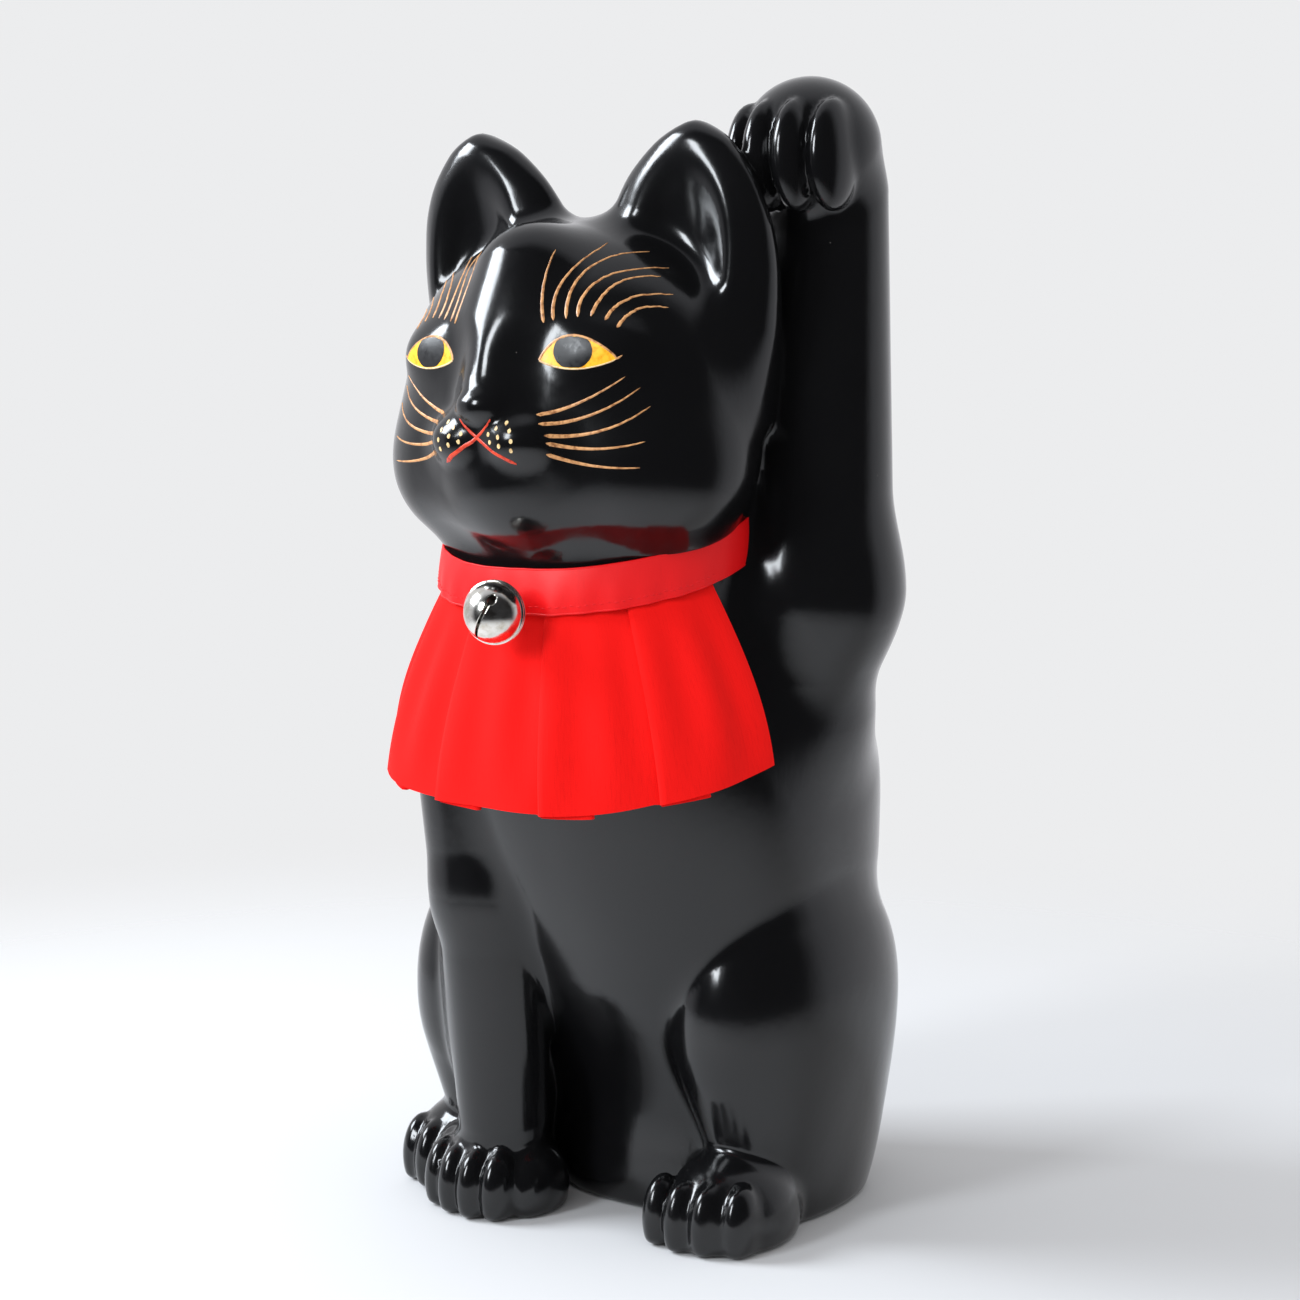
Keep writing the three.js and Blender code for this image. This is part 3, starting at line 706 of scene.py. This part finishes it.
EYE_UPPER, EYE_LOWER = 6.5, 2.5
PUPIL_MIDDLE, PUPIL_HALF = (30.5, 260.9), (6.4, 4.9)


def brush_line(start, middle, end, first_width, last_width, side=1, height=0.16):
    t = np.linspace(0, 1, 26)[:, None]
    bend = 2 * np.array(middle) - (np.array(start) + np.array(end)) / 2
    place = (1 - t) ** 2 * np.array(start) + 2 * t * (1 - t) * bend + t ** 2 * np.array(end)
    points, normals = face_points(side * place[:, 0], place[:, 1])
    t = t[:, 0]
    widths = first_width + (last_width - first_width) * t
    widths *= np.sqrt(np.clip(t / 0.04, 0.06, 1) * np.clip((1 - t) / 0.03, 0.06, 1))
    return stroke_parts(points, normals, widths, height)


def lid(u, upper):
    """Height of an eyelid at a share u of the way from the inner to the outer corner."""
    base = EYE_INNER[1] + (EYE_OUTER[1] - EYE_INNER[1]) * u
    if upper:
        return base + EYE_UPPER * np.sin(math.pi * u ** 0.88) ** 0.8
    return base - EYE_LOWER * np.sin(math.pi * u) ** 0.8


def surface_patch(angles, heights, lift, thickness):
    """A thin raised patch over a grid of places on the face."""
    shape = angles.shape
    points, normals = face_points(angles.ravel(), heights.ravel())
    middle = (points + normals * lift).reshape(*shape, 3)
    return grid_parts(middle, thickness)


def eye_patch(side):
    u = np.linspace(0.005, 0.995, 34)[:, None]
    v = np.linspace(0, 1, 9)[None, :]
    angles = side * (EYE_INNER[0] + (EYE_OUTER[0] - EYE_INNER[0]) * u) + 0 * v
    heights = lid(u, False) + (lid(u, True) - lid(u, False)) * v
    return surface_patch(angles, heights, 0.0, 0.22)


def disc_grid(count):
    """A square grid bent to fill a circle of radius one."""
    s, t = np.meshgrid(np.linspace(-1, 1, count), np.linspace(-1, 1, count), indexing="ij")
    return s * np.sqrt(1 - t * t / 2), t * np.sqrt(1 - s * s / 2)


def pupil_patch(side):
    s, t = disc_grid(15)
    angles = PUPIL_MIDDLE[0] + PUPIL_HALF[0] * s
    u = (angles - EYE_INNER[0]) / (EYE_OUTER[0] - EYE_INNER[0])
    inset = 0.35
    heights = np.clip(PUPIL_MIDDLE[1] + PUPIL_HALF[1] * t, lid(u, False) + inset, lid(u, True) - inset)
    return surface_patch(side * angles, heights, 0.1, 0.2)


def eye_rim(side, upper):
    u = np.linspace(0, 1, 40)
    angles = EYE_INNER[0] + (EYE_OUTER[0] - EYE_INNER[0]) * u
    heights = lid(u, upper)
    if upper:
        flick = np.linspace(0.2, 1, 4)
        angles = np.concatenate([angles, EYE_OUTER[0] + 1.6 * flick])
        heights = np.concatenate([heights, EYE_OUTER[1] + 0.9 * flick])
    points, normals = face_points(side * angles, heights)
    share = np.linspace(0, 1, len(angles))
    widths = (0.85 if upper else 0.6) * (1 - 0.35 * share)
    widths *= np.sqrt(np.clip((1 - share) / 0.05, 0.08, 1))
    return stroke_parts(points, normals, widths, 0.2)


def dot_patch(angle, height):
    s, t = disc_grid(6)
    return surface_patch(angle + 0.52 * s, height + 0.62 * t, 0.02, 0.2)


def painted_face(lines, dots, mouth, yellow, dark, pale):
    both = (1, -1)
    brows = [brush_line(*line, 1.05, 0.32, side) for side in both for line in BROWS]
    whiskers = [brush_line(*line, 1.15, 0.34, side) for side in both for line in WHISKERS]
    pieces = [
        (assembled("painted_brows", brows), lines),
        (assembled("painted_whiskers", whiskers), lines),
        (assembled("painted_mouth", [brush_line(*MOUTH, 0.6, 1.3, side, 0.2) for side in both]), mouth),
        (assembled("muzzle_dots", [dot_patch(side * a, z) for side in both for a, z in DOTS]), dots),
        (assembled("eye_yellow", [eye_patch(side) for side in both]), yellow),
        (assembled("eye_pupils", [pupil_patch(side) for side in both]), dark),
        (assembled("upper_lids", [eye_rim(side, True) for side in both]), lines),
        (assembled("lower_lids", [eye_rim(side, False) for side in both]), pale),
    ]
    for piece, material in pieces:
        dress(piece, material, "figurine")


# ------------------------------------------------------------------ ribbon and bib
NECK_X, NECK_DEEP, NECK_Y = 46.6, 40.6, -26
RIBBON_WIDTH = 12
RIBBON_FRONT_Z, RIBBON_FRONT_Y, RIBBON_SLOPE = 194, -67.5, 0.27
HEM_X, HEM_DEEP, HEM_Y = 67.5, 51.5, -24
HEM_FRONT_Z, HEM_RISE = 133, 18
TUCK = 4                            # how far the bib's top goes up behind the ribbon
CLOTH = 0.36                        # thickness of the bib's cotton
BAND, BOW_BAND, KNOT_BAND = 0.42, 0.4, 0.5      # thickness of the satin at the neck, in the bow, in its knot
PLEATS = (0.2, 0.39, 0.59, 0.78)    # where each pleat's fold lies along the bib
UNDERLAY = 0.078                    # how far the cloth runs on behind a fold
LAYER = 0.85                        # from one layer of a pleat to the next
FREE_FROM = 0.07                    # share of the fall that the ribbon holds flat
BELL_ANGLE = -math.pi / 2 + 0.05    # where the bell's thread pulls the ribbon in
STITCHES = 62
STITCH_TURN, STITCH_RADIUS = 0.026, 0.17        # a stitch's length, as a turn round the neck, and radius


def ribbon_height(y):
    return RIBBON_FRONT_Z + RIBBON_SLOPE * (y - RIBBON_FRONT_Y)


def bib_path():
    """The cloth's way along the bib, which each pleat folds: share of the width, layer, share of underlay."""
    turn = 0.003
    corners = [(0.0, 0.3, 0.0)]
    for fold in PLEATS:
        behind = fold + UNDERLAY
        corners += [(fold - 0.012, 0.3, 0), (fold + 0.02, 0, 1), (behind, 0, 1), (behind + turn, 0.5, 1),
                    (behind, 1, 1), (fold, 1, 0.6), (fold - turn, 1.5, 0), (fold, 2, 0)]
    corners.append((1.0, 0.3, 0.0))
    path = [corners[0]]
    for here, there in zip(corners[:-1], corners[1:]):
        steps = max(1, round(abs(there[0] - here[0]) / 0.008))
        path += [[a + (b - a) * k / steps for a, b in zip(here, there)] for k in range(1, steps + 1)]
    return np.array(path)


def bib_grid():
    path = bib_path()
    s = path[:, 0][:, None]
    layer = path[:, 1][:, None]
    under = path[:, 2][:, None]
    fall = np.linspace(0, 1, 30)[None, :]
    end = np.radians(14 - 2 * fall)
    angle = -math.pi + end + s * (math.pi - 2 * end)
    free = np.clip((fall - FREE_FROM) / (1 - FREE_FROM), 0, 1)
    spread = 0.6 * np.sin(free * math.pi / 2) + 0.4 * free
    billow = 1.4 * np.sin(free * math.pi) * np.sin(s * 2 * math.pi * 5.2 + 0.6) ** 2
    ripple = 0.7 * free ** 2 * np.sin(s * 23 + 1.3) + 0.35 * free * np.sin(s * 41 + fall * 4)
    out = LAYER * layer * (0.75 + 1.4 * fall) + billow + ripple + 0.3
    half_x = NECK_X + (HEM_X - NECK_X) * spread + out
    half_y = NECK_DEEP + (HEM_DEEP - NECK_DEEP) * spread + out
    y = NECK_Y + (HEM_Y - NECK_Y) * fall + half_y * np.sin(angle)
    top = ribbon_height(y) - RIBBON_WIDTH / 2 + TUCK
    hem = HEM_FRONT_Z + HEM_RISE * (1 + np.sin(angle)) ** 1.15 - 1.3 * under + 0.5 * np.sin(s * 17)
    return np.stack([half_x * np.cos(angle), y, top + (hem - top) * fall], -1)


def sheet_area(grid):
    """Area of a grid of points, in square metres."""
    along, across = grid[1:, :-1] - grid[:-1, :-1], grid[:-1, 1:] - grid[:-1, :-1]
    return float(np.linalg.norm(np.cross(along, across), axis=-1).sum()) * MM * MM


def bib(material):
    grid = bib_grid()
    piece = assembled("cotton_bib", [grid_parts(grid, CLOTH)], 70)
    dress(piece, material, "figurine")
    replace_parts(piece, "pleated_bib")
    sheet_area(grid)
    return piece


def band_point(angle, across, out):
    """A place on the neck band: across runs from -1 at the lower edge to 1 at the upper."""
    y = NECK_Y + (NECK_DEEP + out) * np.sin(angle)
    return np.stack([(NECK_X + out) * np.cos(angle), y, ribbon_height(y) + across * RIBBON_WIDTH / 2], -1)


def band_out(angle, across):
    """How far the ribbon stands off the neck line: over the bib's top, with soft dents between its folds."""
    front = np.clip(-np.sin(angle) * 2, 0, 1)
    seat = 1.7 - 0.75 * across
    dents = 0.28 * np.sin(angle * 9 + 0.7) * np.sin(angle * 23) * (0.6 - across) * front
    crown = 0.35 * (1 - across ** 2)
    pull = 0.95 * np.exp(-((angle - BELL_ANGLE) / 0.2) ** 2)
    return seat * (0.45 + 0.55 * front) + 0.35 + crown + dents - pull


def neck_ribbon(satin, thread):
    angle = np.linspace(-math.pi, math.pi, 260, endpoint=False)[:, None]
    across = np.linspace(-1, 1, 15)[None, :]
    band = band_point(angle + 0 * across, across + 0 * angle, band_out(angle, across))
    pieces = [grid_parts(band[:, ::-1], BAND, wrap=True)]
    turns = np.linspace(-math.pi, math.pi, 260)
    for edge in (-1, 1):
        line = band_point(turns, edge + 0 * turns, band_out(turns, edge))
        pieces.append(ring_parts(bead_rings(line, 0.34)))
    ribbon = assembled("satin_neck_ribbon", pieces)
    dress(ribbon, satin, "figurine")
    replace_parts(ribbon, "neck_ribbon")
    stitches = []
    for k in range(STITCHES):
        start = -math.pi + 0.22 + (math.pi - 0.44) * k / STITCHES
        turns = start + np.linspace(0, STITCH_TURN, 6)
        row = -0.66 + 0.03 * math.sin(k * 2.4)
        line = band_point(turns, row + 0 * turns, band_out(turns, row) + 0.24)
        radii = STITCH_RADIUS * np.sqrt(np.sin(np.linspace(0.12, math.pi - 0.12, 6)))
        stitches.append(ring_parts(bead_rings(line, radii)))
    seam = assembled("bib_stitches", stitches)
    dress(seam, thread, "figurine")


def bead_rings(line, radius, around=8):
    """Rings of a round cord through a line of points."""
    tangent = np.gradient(line, axis=0)
    tangent /= np.maximum(np.linalg.norm(tangent, axis=-1, keepdims=True), 1e-9)
    side = np.cross(tangent, np.array([0.02, 0.03, 1.0]))
    side /= np.maximum(np.linalg.norm(side, axis=-1, keepdims=True), 1e-9)
    lift = np.cross(tangent, side)
    angles = np.linspace(0, 2 * math.pi, around, endpoint=False)
    size = np.broadcast_to(np.asarray(radius, float), (len(line),))[:, None, None]
    return line[:, None] + size * (side[:, None] * np.cos(angles)[None, :, None]
                                   + lift[:, None] * np.sin(angles)[None, :, None])


# ------------------------------------------------------------------ bow at the nape
NAPE_Y = NECK_Y + NECK_DEEP + 0.9
KNOT = (0, NAPE_Y + 3.5, 216.4)


def torso_back(z):
    return smooth_read([(s[0], s[3]) for s in TORSO], z)


def bow_loop(side):
    """Ribbon that leaves the knot, turns back and returns to it, pinched at the knot."""
    turn = np.linspace(0, math.pi, 40)[:, None]
    across = np.linspace(-1, 1, 13)[None, :]
    swell = np.sin(turn)
    x = 2.6 + 21.5 * swell ** 0.72
    fold = 0.75 * np.cos(across * 5.5) * (1 - swell) ** 1.5
    y = -2.1 * np.cos(turn) * swell ** 0.35 + fold
    half = 5.9 * (0.5 + 0.5 * swell ** 0.55)
    z = across * half - 0.018 * x ** 1.6
    droop = 0.3
    turned_x = x * math.cos(droop) + z * math.sin(droop)
    turned_z = z * math.cos(droop) - x * math.sin(droop) * 0.55
    grid = np.stack([side * turned_x, KNOT[1] + 1.2 + y + 0 * across, KNOT[2] + 0.6 + turned_z], -1)
    return grid if side > 0 else grid[:, ::-1]


def bow_tail(side):
    """A ribbon end that leaves the knot's underside and lies on the slope of the back, cut to a notch."""
    along = np.linspace(0, 1, 36)[:, None]
    across = np.linspace(-1, 1, 13)[None, :]
    notch = 4.2 * np.abs(across) - 4.2
    z = KNOT[2] - 4 - 37.5 * along + notch * along ** 6 + 0 * across
    wave = 0.55 * np.sin(along * 9 + side) * along + 0.25 * np.cos(across * 4) * (1 - along)
    lying = torso_back(z) + 2.6 + wave
    leave = np.clip(1 - along * 5, 0, 1) ** 2
    y = lying * (1 - leave) + (KNOT[1] + 2.2) * leave
    y = np.maximum(y, KNOT[1] - 0.5)
    half = 5.9 * (0.62 + 0.38 * np.clip(along * 3, 0, 1))
    x = side * (5.5 + 7 * along ** 0.8) + across * half
    return np.stack([x, y, z], -1)


def bow_knot():
    """The wrapped middle of the bow: a short ribbon turn with gathers across it."""
    turn = np.linspace(0, 2 * math.pi, 44, endpoint=False)[:, None]
    across = np.linspace(-1, 1, 17)[None, :]
    gathers = 0.28 * np.cos(across * 9 + np.sin(turn) * 1.2)
    radius_y = 3.3 + gathers - 0.8 * across ** 2
    radius_z = 5.4 + gathers - 0.9 * across ** 2
    x = 3.7 * across * (1 + 0.08 * np.sin(turn * 2))
    y = KNOT[1] + 0.6 + radius_y * np.cos(turn)
    z = KNOT[2] + radius_z * np.sin(turn)
    return np.stack([x + 0 * turn, y, z], -1)


def nape_bow(satin):
    for side, word in ((1, "left"), (-1, "right")):
        loop = assembled("satin_loop_" + word, [grid_parts(bow_loop(side), BOW_BAND)])
        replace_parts(dress(loop, satin, "figurine"), "bow_loop_" + word)
        end = assembled("satin_tail_" + word, [grid_parts(bow_tail(side), BOW_BAND)])
        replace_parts(dress(end, satin, "figurine"), "bow_tail_" + word)
    knot = assembled("satin_knot", [grid_parts(bow_knot(), KNOT_BAND, wrap=True)])
    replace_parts(dress(knot, satin, "figurine"), "bow_knot")


# ------------------------------------------------------------------ jingle bell
BELL_RADIUS, BELL_WALL, RIM = 8.6, 0.5, 0.62
BELL_THREAD_Y, BELL_Z = -68.85, 189
BELL_TURN = math.radians(15)
BELL_REACH = 10.6                    # from the thread to the bell's middle
BELL_MIDDLE = (BELL_REACH * math.sin(BELL_TURN), BELL_THREAD_Y - BELL_REACH * math.cos(BELL_TURN), BELL_Z)
SLOT_HALF_WIDTH, SLOT_TILT = 0.4, 62    # the tilt is in degrees
SLOT_REACH = (-7.6, 4.6)            # the slot's lower end, and its hole, along the slot from the bell's pole
SLOT_HOLE = 1.35
SPLIT = 0.15                        # half the gap between the bell's two halves


def bell_half(p, front):
    """Half a jingle bell: a thin shell with a rolled flange. The front half has the slot."""
    q = p - vec(*BELL_MIDDLE)
    cosine, sine = math.cos(BELL_TURN), math.sin(BELL_TURN)
    x, y = q[..., 0], q[..., 1]
    q = np.stack([x * cosine + y * sine, y * cosine - x * sine, q[..., 2]], -1)
    radius = np.linalg.norm(q, axis=-1)
    shell = np.abs(radius - (BELL_RADIUS - BELL_WALL / 2)) - BELL_WALL / 2
    depth = -q[..., 1] if front else q[..., 1]
    shell = np.maximum(shell, SPLIT - depth)
    reach = np.hypot(q[..., 0], q[..., 2])
    ring = np.hypot(reach - (BELL_RADIUS + RIM * 0.25), depth - SPLIT - 0.36) - 0.36
    shell = blend_min(shell, ring, 0.25)
    if not front:
        return shell
    tilt = math.radians(SLOT_TILT)
    along = q[..., 0] * math.cos(tilt) + q[..., 2] * math.sin(tilt)
    aside = q[..., 2] * math.cos(tilt) - q[..., 0] * math.sin(tilt)
    beyond = np.maximum(np.maximum(SLOT_REACH[0] - along, along - SLOT_REACH[1]), 0)
    slot = np.hypot(aside, beyond) - SLOT_HALF_WIDTH
    hole = np.hypot(along - SLOT_REACH[1], aside) - SLOT_HOLE
    cut = np.maximum(np.minimum(slot, hole), q[..., 1] + 1)
    return blend_max(shell, -cut, 0.12)


def bell(nickel, steel, thread):
    cell = 0.2
    low = [v - BELL_RADIUS - 2 for v in BELL_MIDDLE]
    high = [v + BELL_RADIUS + 2 for v in BELL_MIDDLE]
    for name, node, front in (("bell_front", "bell_front_shell", True),
                              ("bell_rear", "bell_rear_shell", False)):
        def field(p, front=front):
            return bell_half(p, front)
        points, quads = polygonise(field, low, high, cell)
        points, _ = land(field, points, 3)
        half = mesh_piece(name, points, quads)
        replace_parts(dress(half, nickel, "bell"), node)
    for node, material in (("bell_shank", nickel), ("bell_pellet", steel), ("bell_thread", thread)):
        paint_node(node, material)


def paint_node(node, material):
    """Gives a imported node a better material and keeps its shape."""
    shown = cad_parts[node]
    shown.data.materials.clear()
    shown.data.materials.append(material)


# ------------------------------------------------------------------ the whole figurine
black = lacquer()
for node_name, piece in cat_skin().items():
    dress(piece, black, "figurine")
    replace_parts(piece, node_name)
painted_face(
    lines=enamel("tan_enamel", linear(208, 152, 98), linear(150, 98, 58)),
    dots=enamel("cream_enamel", linear(236, 206, 150), linear(196, 160, 108)),
    mouth=enamel("red_enamel", linear(224, 66, 32), linear(176, 40, 20)),
    yellow=enamel("yellow_enamel", linear(252, 188, 30), linear(240, 160, 16)),
    dark=enamel("black_enamel", (0.006, 0.006, 0.007, 1), (0.003, 0.003, 0.004, 1)),
    pale=enamel("pale_enamel", linear(238, 206, 156), linear(205, 160, 110)),
)
red_satin = satin()
red_thread = cloth("red_thread", linear(225, 30, 36), linear(150, 10, 16), 0.0003, 0.0003, 0.7, 0.00005, 0.2)
bib(cloth("red_cotton", linear(230, 14, 10), linear(206, 6, 4), 0.00042, 0.00046, 0.85, 0.00008, 0.04))
neck_ribbon(red_satin, red_thread)
nape_bow(red_satin)
bell(
    nickel=metal("nickel_plate", linear(232, 229, 222), 0.12, 0.24, 0.12, linear(196, 188, 172)),
    steel=metal("pellet_steel", linear(150, 150, 152), 0.22, 0.4, 0.4, linear(112, 108, 102)),
    thread=red_thread,
)
paint_node("base_plate", bare_clay())


# ------------------------------------------------------------------ studio
PAPER_RADIUS = 2.2                  # metres


def studio():
    """A pale floor whose far part fades into the sky, so that no horizon line shows."""
    turns = np.linspace(0, 2 * math.pi, 72, endpoint=False)
    rim = [(PAPER_RADIUS / MM * math.cos(a), PAPER_RADIUS / MM * math.sin(a), -0.2) for a in turns]
    floor = mesh_piece("studio_floor", rim, [tuple(range(len(rim)))], smooth=False)
    material, nodes, links, shader = new_material("floor_paper")
    shader.inputs["Roughness"].default_value = 0.8
    place = object_place(nodes)
    grain = noise(nodes, links, place, 3.0, 2.0)
    tone = ramp(nodes, links, grain, (0.3, (0.62, 0.62, 0.63, 1)), (0.7, (0.65, 0.65, 0.66, 1)))
    links.new(tone, shader.inputs["Base Color"])
    away = add_node(nodes, "ShaderNodeVectorMath", operation="LENGTH")
    links.new(place, away.inputs[0])
    fade = ramp(nodes, links, away.outputs["Value"], (0.18, 0.0), (0.62, 1.0), interpolation="EASE")
    clear = add_node(nodes, "ShaderNodeBsdfTransparent")
    mix = add_node(nodes, "ShaderNodeMixShader")
    links.new(fade, mix.inputs["Fac"])
    links.new(shader.outputs["BSDF"], mix.inputs[1])
    links.new(clear.outputs["BSDF"], mix.inputs[2])
    links.new(mix.outputs["Shader"], nodes["Material Output"].inputs["Surface"])
    floor.data.materials.append(material)


CAMERA_AZIMUTH, CAMERA_PITCH = 35.0, 6.6            # degrees
CAMERA_AWAY, CAMERA_HEIGHT = 0.7707, 0.260          # metres
CAMERA_LENS, CAMERA_SENSOR = 70.8, 36.0             # millimetres
# name, place, width and height in metres, power in watts, colour
LIGHTS = [
    ("window", (-1.05, -0.62, 0.98), 0.62, 0.62, 25, (0.88, 0.94, 1.0)),
    ("second_window", (-0.3, -1.25, 0.72), 0.28, 0.5, 10, (0.9, 0.95, 1.0)),
]
LIT_PLACE = (0, -0.03, 0.18)


def camera():
    turn = math.radians(CAMERA_AZIMUTH)
    data = bpy.data.cameras.new("photo_camera")
    data.sensor_width = CAMERA_SENSOR
    data.lens = CAMERA_LENS
    data.clip_start = 0.01
    data.clip_end = 20
    placed = bpy.data.objects.new("photo_camera", data)
    bpy.context.scene.collection.objects.link(placed)
    placed.location = (CAMERA_AWAY * math.sin(turn), -CAMERA_AWAY * math.cos(turn), CAMERA_HEIGHT)
    placed.rotation_euler = (math.radians(90 - CAMERA_PITCH), 0, turn)
    bpy.context.scene.camera = placed


def area_light(name, place, wide, tall, power, colour):
    data = bpy.data.lights.new(name, "AREA")
    data.shape = "RECTANGLE"
    data.size = wide
    data.size_y = tall
    data.energy = power
    data.color = colour
    lamp = bpy.data.objects.new(name, data)
    bpy.context.scene.collection.objects.link(lamp)
    lamp.location = place
    lamp.rotation_mode = "QUATERNION"
    lamp.rotation_quaternion = (Vector(LIT_PLACE) - Vector(place)).to_track_quat("-Z", "Y")


def sky():
    """Pale all round to look at, but the gloss mirrors a studio that is dark on the photographer's side."""
    world = bpy.data.worlds.new("studio")
    bpy.context.scene.world = world
    world.use_nodes = True
    nodes, links = world.node_tree.nodes, world.node_tree.links
    output = nodes["World Output"]
    seen = nodes["Background"]
    seen.inputs["Color"].default_value = (0.84, 0.845, 0.855, 1)
    mirrored = add_node(nodes, "ShaderNodeBackground")
    place = add_node(nodes, "ShaderNodeTexCoord")
    turn = math.radians(CAMERA_AZIMUTH)
    dot = add_node(nodes, "ShaderNodeVectorMath", operation="DOT_PRODUCT")
    dot.inputs[1].default_value = (-math.sin(turn), math.cos(turn), 0.1)
    links.new(place.outputs["Generated"], dot.inputs[0])
    shift = reckon(nodes, links, "MULTIPLY_ADD", dot.outputs["Value"], 0.5, 0.5)
    level = ramp(nodes, links, shift, (0.0, (0.012, 0.012, 0.014, 1)), (0.36, (0.02, 0.02, 0.023, 1)),
                 (0.5, (0.55, 0.56, 0.6, 1)), (1.0, (0.9, 0.9, 0.93, 1)))
    links.new(level, mirrored.inputs["Color"])
    path = add_node(nodes, "ShaderNodeLightPath")
    mix = add_node(nodes, "ShaderNodeMixShader")
    links.new(path.outputs["Is Glossy Ray"], mix.inputs["Fac"])
    links.new(seen.outputs["Background"], mix.inputs[1])
    links.new(mirrored.outputs["Background"], mix.inputs[2])
    links.new(mix.outputs["Shader"], output.inputs["Surface"])


studio()
camera()
for light in LIGHTS:
    area_light(*light)
sky()
bpy.context.scene.view_settings.view_transform = "Standard"
